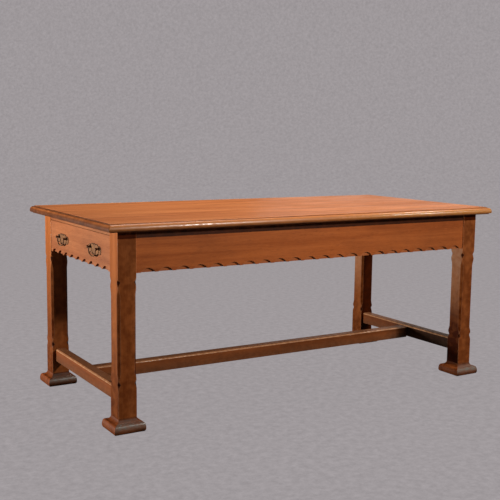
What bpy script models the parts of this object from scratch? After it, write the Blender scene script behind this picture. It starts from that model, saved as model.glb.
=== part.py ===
"""Long oak library table with a drawer in one end.

Four stop-chamfered legs on moulded feet carry scalloped aprons, an H of stretchers and a top of
four boards with a moulded edge. Metres, +Z up, origin on the floor under the middle of the table,
X along the length. The drawer opens towards -X, and the front of the table faces -Y.
"""

import math

import bmesh
import bpy
from mathutils import Matrix, Vector
from mathutils.geometry import delaunay_2d_cdt

# Overall sizes
TOP_HEIGHT = 0.762
TOP_LENGTH = 1.828
TOP_WIDTH = 0.875
TOP_THICKNESS = 0.030
BOARD_COUNT = 4
END_OVERHANG = 0.051
SIDE_OVERHANG = 0.0465

# Moulded edge of the top, measured in from the nose and down from the upper face
FLAT_INSET = 0.0146
FILLET_DROP = 0.0030
OVOLO_INSET = 0.0108
NOSE_DROP = 0.0205
LIP_DROP = 0.0257
LIP_INSET = 0.0012
HOLLOW_INSET = 0.0095

# Legs and the stops of their chamfers: the upper ones are measured down from the aprons' lower
# edge, and the lower ones up from the floor
LEG = 0.072
CHAMFER = 0.0090
STOP_TOOTH = 0.0025
UPPER_CORNER_DROP = 0.0155
UPPER_NOTCH_DROP = 0.0300
UPPER_TOOTH_DROP = 0.0480
UPPER_TONGUE_DROP = 0.0825
LOWER_TONGUE_END = 0.2175
LOWER_TOOTH = 0.1900
LOWER_NOTCH = 0.1775
LOWER_CORNER_END = 0.1580

# Feet, projections measured from the leg faces
FOOT_HEIGHT = 0.0510
FOOT_BASE = 0.0195
FOOT_NOSE = 0.0258
FOOT_NOSE_HEIGHT = 0.0125
FOOT_SHOULDER = 0.0170
FOOT_SHOULDER_HEIGHT = 0.0340
STUB = 0.036
STUB_LENGTH = 0.030

# Aprons and the shallow arches that are sunk in a row along their lower edge
APRON_HEIGHT = 0.1532
APRON_THICKNESS = 0.025
APRON_SETBACK = 0.004
SCALLOP_HALF_WIDTH = 0.0288
SCALLOP_HEIGHT = 0.0152
SCALLOP_DEPTH = 0.0140
SIDE_SCALLOPS = 22
SIDE_SCALLOP_MARGIN = 0.047
END_SCALLOPS = 9
END_SCALLOP_MARGIN = 0.0455

# Stretchers
STRETCHER_TOP = 0.1572
STRETCHER_HEIGHT = 0.053
STRETCHER_WIDTH = 0.045
STRETCHER_CHAMFER = 0.005
CENTRE_STRETCHER_DROP = 0.0053

# Rails inside the frame
RAIL_THICKNESS = 0.0215
RAIL_DEPTH = 0.060
CROSS_RAIL_THICKNESS = 0.022
CROSS_RAIL_RISE = 0.0225
BEARER_PLACE_SHARE = 0.33
BEARER_WIDTH = 0.060
BEARER_THICKNESS = 0.030
HOUSING_DEPTH = 0.006

# Drawer
DRAWER_LENGTH = 0.460
DRAWER_SETBACK = 0.0015
DRAWER_SIDE_PLAY = 0.0012
DRAWER_TOP_PLAY = 0.0015
DRAWER_FRONT_THICKNESS = 0.022
DRAWER_SIDE_THICKNESS = 0.012
DRAWER_BACK_THICKNESS = 0.011
DRAWER_SIDE_LOWERING = 0.002
DRAWER_BACK_LOWERING = 0.006
DRAWER_LAP = 0.006
DRAWER_BOTTOM_THICKNESS = 0.008
GROOVE_DEPTH = 0.005
GROOVE_HEIGHT = 0.008
TAIL_COUNT = 3

# What carries and steers the drawer
RUNNER_THICKNESS = 0.020
RUNNER_LEDGE = 0.002
GUIDE_HEIGHT = 0.030
GUIDE_PLAY = 0.0007
STOP_LENGTH = 0.045
STOP_HEIGHT = 0.018

# Drop handles
HANDLE_SPACING = 0.344
HANDLE_RISE = 0.0645
PLATE_THICKNESS = 0.0020
PLATE_END_PLACE = 0.0470
PLATE_END_RADIUS = 0.0165
PLATE_WING_PLACE = (0.0210, 0.0095)
PLATE_WING_RADII = (0.0165, 0.0125)
PLATE_CROWN_PLACE = 0.0160
PLATE_CROWN_RADIUS = 0.0072
POST_SPACING = 0.086
POST_RISE = 0.0060
POST_REACH = 0.0120
POST_BALL = 0.0055
POST_NECK = 0.0034
POST_FLANGE = 0.0065
POST_FLANGE_THICKNESS = 0.0018
BOLT_RADIUS = 0.0022
NUT_RADIUS = 0.0060
NUT_THICKNESS = 0.0036
BOLT_END = 0.0020
BAIL_HALF_WIDTH = 0.0345
BAIL_DROP = 0.0300
BAIL_END_RADIUS = 0.0018
BAIL_MIDDLE_RADIUS = 0.0032
BAIL_BEND = 0.0035
BAIL_PIN = 0.0110
BAIL_SQUARENESS_SHARE = 0.85
PIN_PLAY = 0.0004

# Buttons that hold the top down, and the holes of their screws
BUTTON_WIDTH = 0.040
BUTTON_LENGTH = 0.034
BUTTON_THICKNESS = 0.022
BUTTON_TONGUE = 0.008
BUTTON_TONGUE_THICKNESS = 0.009
BUTTON_PLAY = 0.001
BUTTON_SCREW_PLACE = 0.020
BUTTON_PLACE_SHARES = (-0.20, 0.10, 0.53, 0.86)
END_BUTTON_PLACE_SHARE = 0.47
SCREW_LENGTH = 0.036
SCREW_RADIUS = 0.0024
SCREW_HEAD_RADIUS = 0.0046
SCREW_HEAD_HEIGHT = 0.0030
SCREW_POINT = 0.006

# Joinery
TENON_THICKNESS = 0.010
TENON_LENGTH = 0.034
TENON_SHOULDER = 0.015
STRETCHER_TENON_THICKNESS = 0.014
STRETCHER_TENON_SHOULDER = 0.009
CENTRE_TENON_LENGTH = 0.016
RAIL_TAIL_LENGTH = 0.022
RAIL_TAIL_INSET = 0.012
TAIL_SLOPE = 1 / 7
TAIL_ROOT_SHARE = 0.28
GAP = 0.0003
OVERRUN = 0.004
MERGE = 0.00001
INNER_TRIANGLES = 1

# Fineness of curved work
SCALLOP_STEPS = 10
MOULDING_STEPS = 6
TURNED_STEPS = 20
LOBE_STEPS = 8
BAIL_STEPS = 22
SCREW_STEPS = 10

# Colours of the pieces, as linear red, green and blue
POLISHED_OAK = (0.33, 0.135, 0.055)
DARK_OAK = (0.20, 0.075, 0.030)
BARE_OAK = (0.40, 0.24, 0.12)
AGED_BRASS = (0.24, 0.17, 0.08)
STEEL = (0.28, 0.27, 0.26)

# Places that follow from the sizes
FRAME_X = TOP_LENGTH / 2 - END_OVERHANG
FRAME_Y = TOP_WIDTH / 2 - SIDE_OVERHANG
LEG_X = FRAME_X - LEG / 2
LEG_Y = FRAME_Y - LEG / 2
BAY_X = FRAME_X - LEG
BAY_Y = FRAME_Y - LEG
FRAME_TOP = TOP_HEIGHT - TOP_THICKNESS - GAP
APRON_Y = FRAME_Y - APRON_SETBACK - APRON_THICKNESS / 2
APRON_X = FRAME_X - APRON_SETBACK - APRON_THICKNESS / 2
APRON_INNER_Y = APRON_Y - APRON_THICKNESS / 2
APRON_INNER_X = APRON_X - APRON_THICKNESS / 2
APRON_BOTTOM = FRAME_TOP - APRON_HEIGHT
RAIL_BOTTOM = FRAME_TOP - RAIL_THICKNESS
CROSS_RAIL_BOTTOM = APRON_BOTTOM + CROSS_RAIL_RISE
HANDLE_HEIGHT = APRON_BOTTOM + HANDLE_RISE

# Turns that stand a flat outline up: its two directions become X and Z, or Y and Z
TO_XZ = Matrix.Rotation(math.radians(90), 4, "X")
TO_YZ = Matrix.Rotation(math.radians(90), 4, "Z") @ TO_XZ
TO_FRONT = Matrix.Rotation(math.radians(-90), 4, "Y")


def clear_scene():
    for old in list(bpy.data.objects):
        bpy.data.objects.remove(old, do_unlink=True)


def new_collection(name):
    collection = bpy.data.collections.new(name)
    bpy.context.scene.collection.children.link(collection)
    return collection


clear_scene()
PARTS = new_collection("library_table")
TOOLS = new_collection("cutters")


# Shapes


def put(name, mesh, collection, turn=Matrix(), place=(0, 0, 0)):
    """An object of this mesh, turned and then moved to its place."""
    piece = bpy.data.objects.new(name, mesh)
    piece.matrix_world = Matrix.Translation(place) @ turn
    collection.objects.link(piece)
    return piece


def as_tool(tool):
    """Marks a helper that cuts or joins, and is no piece of the table."""
    tool.hide_render = True
    tool.display_type = "WIRE"
    return tool


def finish(piece, colour, roughness, metallic=0.0):
    """Gives a piece its own material."""
    material = bpy.data.materials.new(piece.name)
    material.use_nodes = True
    shader = material.node_tree.nodes["Principled BSDF"]
    shader.inputs["Base Color"].default_value = (*colour, 1)
    shader.inputs["Roughness"].default_value = roughness
    shader.inputs["Metallic"].default_value = metallic
    material.diffuse_color = (*colour, 1)
    piece.data.materials.append(material)
    return piece


def smooth(piece, degrees=35):
    """Shades a rounded piece smooth, and leaves its real arrises sharp."""
    piece.data.shade_smooth()
    piece.data.set_sharp_from_angle(angle=math.radians(degrees))
    return piece


def closed_mesh(name, bm):
    """The mesh of these faces, welded, with every face pointing out."""
    bmesh.ops.remove_doubles(bm, verts=bm.verts, dist=MERGE)
    bmesh.ops.recalc_face_normals(bm, faces=bm.faces)
    mesh = bpy.data.meshes.new(name)
    bm.to_mesh(mesh)
    bm.free()
    return mesh


def made_real(shape):
    """The evaluated mesh of a curve or of a piece with modifiers; the piece itself is removed."""
    bpy.context.view_layer.update()
    graph = bpy.context.evaluated_depsgraph_get()
    bm = bmesh.new()
    mesh = bpy.data.meshes.new_from_object(shape.evaluated_get(graph))
    bm.from_mesh(mesh)
    bpy.data.meshes.remove(mesh)
    name = shape.name
    bpy.data.objects.remove(shape)
    return closed_mesh(name, bm)


def block_mesh(name, low, high):
    """A plain block between two corners, about its own centre."""
    size = [b - a for a, b in zip(low, high)]
    bm = bmesh.new()
    bmesh.ops.create_cube(bm, size=1)
    bmesh.ops.scale(bm, vec=size, verts=bm.verts)
    return closed_mesh(name, bm)


def block(name, low, high, collection=None):
    middle = [(a + b) / 2 for a, b in zip(low, high)]
    return put(name, block_mesh(name, low, high), collection or PARTS, place=middle)


def is_inside(point, outlines):
    """Whether a line from the point crosses the outlines an odd number of times."""
    crossings = 0
    for outline in outlines:
        for (u, v), (next_u, next_v) in zip(outline, outline[1:] + outline[:1]):
            if (v > point.y) != (next_v > point.y):
                crossings += point.x < u + (point.y - v) / (next_v - v) * (next_u - u)
    return crossings % 2 == 1


def flat_mesh(name, outlines, thickness):
    """A board sawn to its outlines, inner ones being holes, with half its thickness on either side."""
    points, edges = [], []
    for outline in outlines:
        numbers = range(len(points), len(points) + len(outline))
        edges += zip(numbers, [*numbers[1:], numbers[0]])
        points += [Vector(point) for point in outline]
    corners, _, triangles, *_ = delaunay_2d_cdt(points, edges, [], INNER_TRIANGLES, MERGE)
    bm = bmesh.new()
    sheet = [bm.verts.new((*corner, -thickness / 2)) for corner in corners]
    for triangle in triangles:
        middle = sum((corners[number] for number in triangle), Vector((0, 0))) / len(triangle)
        if is_inside(middle, outlines):
            bm.faces.new([sheet[number] for number in triangle])
    pushed = bmesh.ops.extrude_face_region(bm, geom=bm.faces[:])["geom"]
    far_side = [corner for corner in pushed if isinstance(corner, bmesh.types.BMVert)]
    bmesh.ops.translate(bm, vec=(0, 0, thickness), verts=far_side)
    return closed_mesh(name, bm)


def turned_mesh(name, profile, steps):
    """A profile of (radius, height) points, from its top down, spun round Z."""
    bm = bmesh.new()
    points = [bm.verts.new((radius, 0, height)) for radius, height in profile]
    for upper, lower in zip(points, points[1:]):
        bm.edges.new((upper, lower))
    mesh = bpy.data.meshes.new(name)
    bm.to_mesh(mesh)
    bm.free()
    shape = bpy.data.objects.new(name, mesh)
    TOOLS.objects.link(shape)
    spin = shape.modifiers.new("Spin", "SCREW")
    spin.steps = steps
    spin.render_steps = steps
    spin.use_merge_vertices = True
    spin.merge_threshold = MERGE
    return made_real(shape)


def moulded_mesh(name, half_x, half_y, section):
    """A rectangle pushed up ring by ring through the (growth, height) points of its moulding."""
    bm = bmesh.new()
    bmesh.ops.create_grid(bm, x_segments=1, y_segments=1, size=1)
    face = bm.faces[:][0]
    for number, (growth, height) in enumerate(section):
        if number:
            pushed = bmesh.ops.extrude_face_region(bm, geom=[face])
            if number > 1:
                bmesh.ops.delete(bm, geom=[face], context="FACES_ONLY")
            face = next(g for g in pushed["geom"] if isinstance(g, bmesh.types.BMFace))
        for corner in face.verts:
            corner.co.x = math.copysign(half_x + growth, corner.co.x)
            corner.co.y = math.copysign(half_y + growth, corner.co.y)
            corner.co.z = height
    return closed_mesh(name, bm)


def repeated_mesh(name, mesh, places):
    """One mesh that holds a copy of another at each of these matrices, as separate solids."""
    bm = bmesh.new()
    for place in places:
        copy = mesh.copy()
        copy.transform(place)
        bm.from_mesh(copy)
        bpy.data.meshes.remove(copy)
    return closed_mesh(name, bm)


def arc(centre, radii, start, end, steps):
    """Points along an ellipse's arc, angles in degrees."""
    points = []
    for step in range(steps + 1):
        angle = math.radians(start + (end - start) * step / steps)
        points.append((centre[0] + radii[0] * math.cos(angle), centre[1] + radii[1] * math.sin(angle)))
    return points


# Joints between pieces


def shape_with(piece, tool, operation):
    step = piece.modifiers.new(tool.name, "BOOLEAN")
    step.operation = operation
    step.solver = "EXACT"
    step.object = tool
    return piece


def cut(piece, tool):
    return shape_with(piece, as_tool(tool), "DIFFERENCE")


def join(piece, tool):
    return shape_with(piece, as_tool(tool), "UNION")


def grown(low, high, gap):
    return Vector(low) - Vector((gap, gap, gap)), Vector(high) + Vector((gap, gap, gap))


def tenon(piece, carrier, low, high, axis, tip):
    """Adds a tenon to the piece and sinks its mortise, one gap wider all round, in the carrier.

    low and high are the tenon's corners, and tip is 1 or -1, the way it points along its axis.
    """
    root_low, root_high = Vector(low), Vector(high)
    hole_low, hole_high = grown(low, high, GAP)
    if tip > 0:
        root_low[axis] -= OVERRUN
        hole_low[axis] -= OVERRUN
    else:
        root_high[axis] += OVERRUN
        hole_high[axis] += OVERRUN
    name = piece.name + "_in_" + carrier.name
    join(piece, block("tenon_" + name, root_low, root_high, TOOLS))
    cut(carrier, block("mortise_" + name, hole_low, hole_high, TOOLS))


def housing(piece, carrier, low, high):
    """Sinks a carrier round a piece that is let into it whole."""
    hole_low, hole_high = grown(low, high, GAP)
    cut(carrier, block("housing_" + piece.name + "_in_" + carrier.name, hole_low, hole_high, TOOLS))


# Top


def edge_section():
    """Moulding of the top's edge from its underside up: hollow, lip, nose, ovolo, fillet."""
    underside = TOP_HEIGHT - TOP_THICKNESS
    lip = TOP_HEIGHT - LIP_DROP
    nose = TOP_HEIGHT - NOSE_DROP
    ledge = TOP_HEIGHT - FILLET_DROP
    hollow_radii = (HOLLOW_INSET - LIP_INSET, lip - underside)
    hollow = arc((-LIP_INSET, underside), hollow_radii, 180, 90, MOULDING_STEPS)
    ovolo = arc((-OVOLO_INSET, nose), (OVOLO_INSET, ledge - nose), 0, 90, MOULDING_STEPS)
    return [*hollow, *ovolo, (-FLAT_INSET, ledge), (-FLAT_INSET, TOP_HEIGHT)]


def make_top():
    """Boards laid side by side: each is the strip of the moulded slab between two joints."""
    half_x = TOP_LENGTH / 2
    half_y = TOP_WIDTH / 2
    slab = moulded_mesh("moulded_slab", half_x, half_y, edge_section())
    width = TOP_WIDTH / BOARD_COUNT
    boards = []
    for number in range(BOARD_COUNT):
        board = put(f"top_board_{number + 1}", slab.copy(), PARTS)
        near = -half_y + number * width
        far = near + width
        near = near + GAP / 2 if number else near - OVERRUN
        far = far - GAP / 2 if number < BOARD_COUNT - 1 else far + OVERRUN
        low = (-half_x - OVERRUN, near, TOP_HEIGHT - TOP_THICKNESS - OVERRUN)
        high = (half_x + OVERRUN, far, TOP_HEIGHT + OVERRUN)
        shape_with(board, as_tool(block(f"strip_{number + 1}", low, high, TOOLS)), "INTERSECT")
        boards.append(finish(board, POLISHED_OAK, 0.32))
    return boards


# Legs and feet


def stop_profile():
    """Depth of the chamfer along a leg, as the radii of a four-sided turned cutter.

    The cutter stands one overrun outside the arris both ways, so it starts to cut at twice that.
    """
    off = 2 * OVERRUN
    deep = CHAMFER + off
    tooth = STOP_TOOTH + off
    notch_fall = (UPPER_NOTCH_DROP - UPPER_CORNER_DROP) / CHAMFER
    foot_fall = (LOWER_NOTCH - LOWER_CORNER_END) / CHAMFER
    corner_end, notch = APRON_BOTTOM - UPPER_CORNER_DROP, APRON_BOTTOM - UPPER_NOTCH_DROP
    upper = [(0, corner_end + off * notch_fall), (deep, notch)]
    lower = [(deep, LOWER_NOTCH), (0, LOWER_CORNER_END - off * foot_fall)]
    return [
        *upper,
        *tongue(tooth, deep, APRON_BOTTOM - UPPER_TOOTH_DROP, APRON_BOTTOM - UPPER_TONGUE_DROP),
        *reversed(tongue(tooth, deep, LOWER_TOOTH, LOWER_TONGUE_END)),
        *lower,
    ]


def tongue(tooth, deep, start, end):
    """A lamb's tongue: from the tooth the chamfer deepens in an S, half a cosine wave."""
    points = []
    for step in range(MOULDING_STEPS + 1):
        share = step / MOULDING_STEPS
        swell = (1 - math.cos(math.pi * share)) / 2
        points.append((tooth + (deep - tooth) * swell, start + (end - start) * share))
    return points


def make_leg(name, side_x, side_y, chamfer_mesh):
    """A square leg with a stub for its foot and stopped chamfers on its four arrises."""
    x, y = side_x * LEG_X, side_y * LEG_Y
    half = LEG / 2
    leg = block(name, (x - half, y - half, FOOT_HEIGHT + GAP), (x + half, y + half, FRAME_TOP))
    corners = []
    for corner_x in (-1, 1):
        for corner_y in (-1, 1):
            reach = half + OVERRUN
            corners.append(Matrix.Translation((x + corner_x * reach, y + corner_y * reach, 0)))
    cut(leg, put("chamfers_" + name, repeated_mesh("chamfers", chamfer_mesh, corners), TOOLS))
    return finish(leg, POLISHED_OAK, 0.35)


def foot_section():
    """Moulding of a foot from the floor up: rounded base and shoulder, then a cove to the leg."""
    steps = MOULDING_STEPS
    base = arc((FOOT_BASE, FOOT_NOSE_HEIGHT), (FOOT_NOSE - FOOT_BASE, FOOT_NOSE_HEIGHT), -90, 0, steps)
    rise = FOOT_SHOULDER_HEIGHT - FOOT_NOSE_HEIGHT
    shoulder = arc((FOOT_SHOULDER, FOOT_NOSE_HEIGHT), (FOOT_NOSE - FOOT_SHOULDER, rise), 0, 90, steps)
    hollow = FOOT_HEIGHT - FOOT_SHOULDER_HEIGHT
    cove = arc((FOOT_SHOULDER, FOOT_HEIGHT), (FOOT_SHOULDER, hollow), 270, 180, steps)
    return [*base, *shoulder[1:], *cove[1:]]


def make_foot(name, leg, side_x, side_y):
    """A moulded block under a leg, which stands in it on a square stub."""
    x, y = side_x * LEG_X, side_y * LEG_Y
    mesh = moulded_mesh(name, LEG / 2, LEG / 2, foot_section())
    foot = put(name, mesh, PARTS, place=(x, y, 0))
    half = STUB / 2
    low = (x - half, y - half, FOOT_HEIGHT - STUB_LENGTH)
    high = (x + half, y + half, FOOT_HEIGHT)
    tenon(leg, foot, low, high, axis=2, tip=-1)
    return finish(foot, POLISHED_OAK, 0.35)


def make_legs():
    chamfer_mesh = turned_mesh("stop_chamfer", stop_profile(), 4)
    legs = {}
    for side_y, row in ((-1, "front"), (1, "back")):
        for side_x, end in ((-1, "left"), (1, "right")):
            leg = make_leg(f"leg_{row}_{end}", side_x, side_y, chamfer_mesh)
            make_foot(f"foot_{row}_{end}", leg, side_x, side_y)
            legs[side_x, side_y] = leg
    return legs


# Aprons


def scalloped(board, count, reach, turn, face):
    """Sinks a row of arches in a board's face, along its lower edge, over this reach either way.

    The arches are set out for a face at the origin that looks along -Y, then turned to theirs.
    """
    radius = (SCALLOP_HALF_WIDTH**2 + SCALLOP_HEIGHT**2) / (2 * SCALLOP_HEIGHT)
    side = math.degrees(math.acos(SCALLOP_HALF_WIDTH / radius))
    arch = arc((0, SCALLOP_HEIGHT - radius), (radius, radius), 180 - side, side, SCALLOP_STEPS)
    arch += [(SCALLOP_HALF_WIDTH, -OVERRUN), (-SCALLOP_HALF_WIDTH, -OVERRUN)]
    mesh = flat_mesh("arch", [arch], SCALLOP_DEPTH + OVERRUN)
    middle = (SCALLOP_DEPTH - OVERRUN) / 2
    places = []
    for number in range(count):
        along = -reach + 2 * reach * number / (count - 1)
        places.append(Matrix.Translation((along, middle, APRON_BOTTOM)) @ TO_XZ)
    name = "arches_" + board.name
    return cut(board, put(name, repeated_mesh(name, mesh, places), TOOLS, turn, face))


def make_long_apron(name, side_y, legs):
    half = BAY_X - GAP
    reach = BAY_X - SIDE_SCALLOP_MARGIN
    y = side_y * APRON_Y
    apron = block(
        name,
        (-half, y - APRON_THICKNESS / 2, APRON_BOTTOM),
        (half, y + APRON_THICKNESS / 2, FRAME_TOP),
    )
    outwards = Matrix() if side_y < 0 else Matrix.Rotation(math.pi, 4, "Z")
    scalloped(apron, SIDE_SCALLOPS, reach, outwards, (0, y + side_y * APRON_THICKNESS / 2, 0))
    for side_x in (-1, 1):
        near, far = side_x * half, side_x * (BAY_X + TENON_LENGTH)
        low = (min(near, far), y - TENON_THICKNESS / 2, tenon_bottom())
        high = (max(near, far), y + TENON_THICKNESS / 2, FRAME_TOP - TENON_SHOULDER)
        tenon(apron, legs[side_x, side_y], low, high, axis=0, tip=side_x)
    return finish(apron, DARK_OAK, 0.35)


def tenon_bottom():
    return APRON_BOTTOM + SCALLOP_HEIGHT + TENON_SHOULDER / 2


def make_end_apron(legs):
    half = BAY_Y - GAP
    reach = BAY_Y - END_SCALLOP_MARGIN
    face_x = APRON_X + APRON_THICKNESS / 2
    apron = block("apron_right", (APRON_INNER_X, -half, APRON_BOTTOM), (face_x, half, FRAME_TOP))
    scalloped(apron, END_SCALLOPS, reach, Matrix.Rotation(math.pi / 2, 4, "Z"), (face_x, 0, 0))
    for side_y in (-1, 1):
        near, far = side_y * half, side_y * (BAY_Y + TENON_LENGTH)
        low = (APRON_X - TENON_THICKNESS / 2, min(near, far), tenon_bottom())
        high = (APRON_X + TENON_THICKNESS / 2, max(near, far), FRAME_TOP - TENON_SHOULDER)
        tenon(apron, legs[1, side_y], low, high, axis=1, tip=side_y)
    return finish(apron, DARK_OAK, 0.35)


# Stretchers


def stretcher_section(width, top, height):
    """Cross section with its two upper arrises chamfered."""
    half = width / 2
    slope = STRETCHER_CHAMFER
    bottom = top - height
    return [
        (-half, bottom),
        (half, bottom),
        (half, top - slope),
        (half - slope, top),
        (-half + slope, top),
        (-half, top - slope),
    ]


def make_stretchers(legs):
    """An H: an end stretcher between each pair of legs, and one between those two."""
    section = stretcher_section(STRETCHER_WIDTH, STRETCHER_TOP, STRETCHER_HEIGHT)
    low_z = STRETCHER_TOP - STRETCHER_HEIGHT + STRETCHER_TENON_SHOULDER
    high_z = STRETCHER_TOP - STRETCHER_TENON_SHOULDER
    half_tenon = STRETCHER_TENON_THICKNESS / 2
    ends = {}
    for side_x, name in ((-1, "stretcher_left"), (1, "stretcher_right")):
        x = side_x * LEG_X
        length = 2 * (BAY_Y - GAP)
        rail = put(name, flat_mesh(name, [section], length), PARTS, TO_XZ, (x, 0, 0))
        for side_y in (-1, 1):
            near, far = side_y * (BAY_Y - GAP), side_y * (BAY_Y + TENON_LENGTH)
            low = (x - half_tenon, min(near, far), low_z)
            high = (x + half_tenon, max(near, far), high_z)
            tenon(rail, legs[side_x, side_y], low, high, axis=1, tip=side_y)
        ends[side_x] = finish(rail, POLISHED_OAK, 0.4)
    inner = LEG_X - STRETCHER_WIDTH / 2
    length = 2 * (inner - GAP)
    top = STRETCHER_TOP - CENTRE_STRETCHER_DROP
    section = stretcher_section(STRETCHER_WIDTH, top, STRETCHER_HEIGHT)
    centre = put("stretcher_centre", flat_mesh("stretcher_centre", [section], length), PARTS, TO_YZ)
    low_z = top - STRETCHER_HEIGHT + STRETCHER_TENON_SHOULDER
    high_z = top - STRETCHER_TENON_SHOULDER
    for side_x in (-1, 1):
        near, far = side_x * (inner - GAP), side_x * (inner + CENTRE_TENON_LENGTH)
        low = (min(near, far), -half_tenon, low_z)
        high = (max(near, far), half_tenon, high_z)
        tenon(centre, ends[side_x], low, high, axis=0, tip=side_x)
    return finish(centre, POLISHED_OAK, 0.4)


# Rails inside the frame

RAIL_FRONT_X = -FRAME_X + DRAWER_SETBACK
RAIL_BACK_X = RAIL_FRONT_X + RAIL_DEPTH
DRAWER_FRONT_X = -FRAME_X + DRAWER_SETBACK
DRAWER_BACK_X = DRAWER_FRONT_X + DRAWER_LENGTH
CROSS_RAIL_X = DRAWER_BACK_X + STOP_LENGTH + 2 * GAP


def rail_tail(side_y, gap=0.0):
    """Corners of the dovetail at one end of the rail, from its near flank round to the far one."""
    root_near = RAIL_FRONT_X + RAIL_TAIL_INSET - gap
    root_far = RAIL_BACK_X - RAIL_TAIL_INSET + gap
    flare = RAIL_TAIL_LENGTH * TAIL_SLOPE
    root_y = side_y * (BAY_Y - GAP)
    tip_y = side_y * (BAY_Y + RAIL_TAIL_LENGTH + gap)
    return [(root_near, root_y), (root_near - flare, tip_y), (root_far + flare, tip_y), (root_far, root_y)]


def rail_socket(side_y):
    """The dovetail one gap wider, open past the leg's face."""
    tail = rail_tail(side_y, GAP)
    mouth_y = side_y * (BAY_Y - OVERRUN)
    return [*tail, (tail[-1][0], mouth_y), (tail[0][0], mouth_y)]


def make_top_rail(legs):
    """The rail over the drawer, let into the leg tops with a dovetail at each end."""
    shoulder = BAY_Y - GAP
    outline = [
        (RAIL_FRONT_X, -shoulder),
        *rail_tail(-1),
        (RAIL_BACK_X, -shoulder),
        (RAIL_BACK_X, shoulder),
        *reversed(rail_tail(1)),
        (RAIL_FRONT_X, shoulder),
    ]
    mesh = flat_mesh("top_rail", [outline], RAIL_THICKNESS)
    rail = put("top_rail", mesh, PARTS, place=(0, 0, FRAME_TOP - RAIL_THICKNESS / 2))
    depth = RAIL_THICKNESS + GAP + OVERRUN
    middle = FRAME_TOP + OVERRUN - depth / 2
    for side_y in (-1, 1):
        name = f"rail_socket_{side_y}"
        socket_mesh = flat_mesh(name, [rail_socket(side_y)], depth)
        cut(legs[-1, side_y], put(name, socket_mesh, TOOLS, place=(0, 0, middle)))
    return finish(rail, POLISHED_OAK, 0.35)


def make_cross_rails(aprons):
    """A rail behind the drawer and a bearer under the top, both let into the long aprons."""
    reach = APRON_INNER_Y + HOUSING_DEPTH
    low = (CROSS_RAIL_X, -reach, CROSS_RAIL_BOTTOM)
    high = (CROSS_RAIL_X + CROSS_RAIL_THICKNESS, reach, FRAME_TOP)
    cross_rail = block("cross_rail", low, high)
    bearer_x = BEARER_PLACE_SHARE * BAY_X
    bearer_low = (bearer_x - BEARER_WIDTH / 2, -reach, FRAME_TOP - BEARER_THICKNESS)
    bearer_high = (bearer_x + BEARER_WIDTH / 2, reach, FRAME_TOP)
    bearer = block("top_bearer", bearer_low, bearer_high)
    for apron in aprons:
        housing(cross_rail, apron, low, high)
        housing(bearer, apron, bearer_low, bearer_high)
    finish(cross_rail, BARE_OAK, 0.6)
    finish(bearer, BARE_OAK, 0.6)


# Drawer

DRAWER_HALF_WIDTH = BAY_Y - DRAWER_SIDE_PLAY
DRAWER_TOP = RAIL_BOTTOM - DRAWER_TOP_PLAY
SIDE_TOP = DRAWER_TOP - DRAWER_SIDE_LOWERING
SIDE_BOTTOM = CROSS_RAIL_BOTTOM + RUNNER_THICKNESS + GAP
SIDE_MIDDLE_Y = DRAWER_HALF_WIDTH - DRAWER_SIDE_THICKNESS / 2
SIDE_INNER_Y = DRAWER_HALF_WIDTH - DRAWER_SIDE_THICKNESS
FRONT_INNER_X = DRAWER_FRONT_X + DRAWER_FRONT_THICKNESS
BACK_INNER_X = DRAWER_BACK_X - DRAWER_BACK_THICKNESS
BOTTOM_LOW = SIDE_BOTTOM + GROOVE_HEIGHT
BOTTOM_HIGH = BOTTOM_LOW + DRAWER_BOTTOM_THICKNESS


def tail_heights(low, high):
    """Middle height of each dovetail between two heights, and half its width at the root."""
    pitch = (high - low) / TAIL_COUNT
    middles = [low + (number + 1 / 2) * pitch for number in range(TAIL_COUNT)]
    return middles, pitch * TAIL_ROOT_SHARE


def tails(root, tip, low, high, gap=0.0):
    """Corners of each dovetail: root and tip are lengthwise places, and the tip is the wider."""
    middles, half_root = tail_heights(low, high)
    half_tip = half_root + abs(tip - root) * TAIL_SLOPE
    grow = math.copysign(gap, tip - root)
    mouth = math.copysign(OVERRUN, tip - root) if gap else 0
    half_mouth = half_root - abs(mouth) * TAIL_SLOPE
    return [[
        (root - mouth, middle - half_mouth - gap),
        (tip + grow, middle - half_tip - gap),
        (tip + grow, middle + half_tip + gap),
        (root - mouth, middle + half_mouth + gap),
    ] for middle in middles]


def make_drawer_side(name, side_y):
    """A side with its tails: lapped by the front, and right through at the back."""
    front_root, back_root = FRONT_INNER_X + GAP, BACK_INNER_X - GAP
    front_tip, back_tip = DRAWER_FRONT_X + DRAWER_LAP, DRAWER_BACK_X
    back_top = SIDE_TOP - DRAWER_BACK_LOWERING
    outline = [(front_root, SIDE_BOTTOM), (DRAWER_BACK_X, SIDE_BOTTOM), (DRAWER_BACK_X, BOTTOM_HIGH)]
    outline.append((back_root, BOTTOM_HIGH))
    for corners in tails(back_root, back_tip, BOTTOM_HIGH, back_top):
        outline += corners
    outline += [(back_root, SIDE_TOP), (front_root, SIDE_TOP)]
    for corners in reversed(tails(front_root, front_tip, SIDE_BOTTOM, SIDE_TOP)):
        outline += corners[::-1]
    mesh = flat_mesh(name, [outline], DRAWER_SIDE_THICKNESS)
    side = put(name, mesh, PARTS, TO_XZ, (0, side_y * SIDE_MIDDLE_Y, 0))
    return finish(side, BARE_OAK, 0.6)


def sockets(name, root, tip, low, high, side_y):
    """The cutter for one end's tails, one gap wider, open past the end of the board it cuts."""
    thickness = DRAWER_SIDE_THICKNESS + GAP + OVERRUN
    middle = side_y * (SIDE_INNER_Y - GAP + thickness / 2)
    mesh = flat_mesh(name, tails(root, tip, low, high, GAP), thickness)
    return put(name, mesh, TOOLS, TO_XZ, (0, middle, 0))


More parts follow.
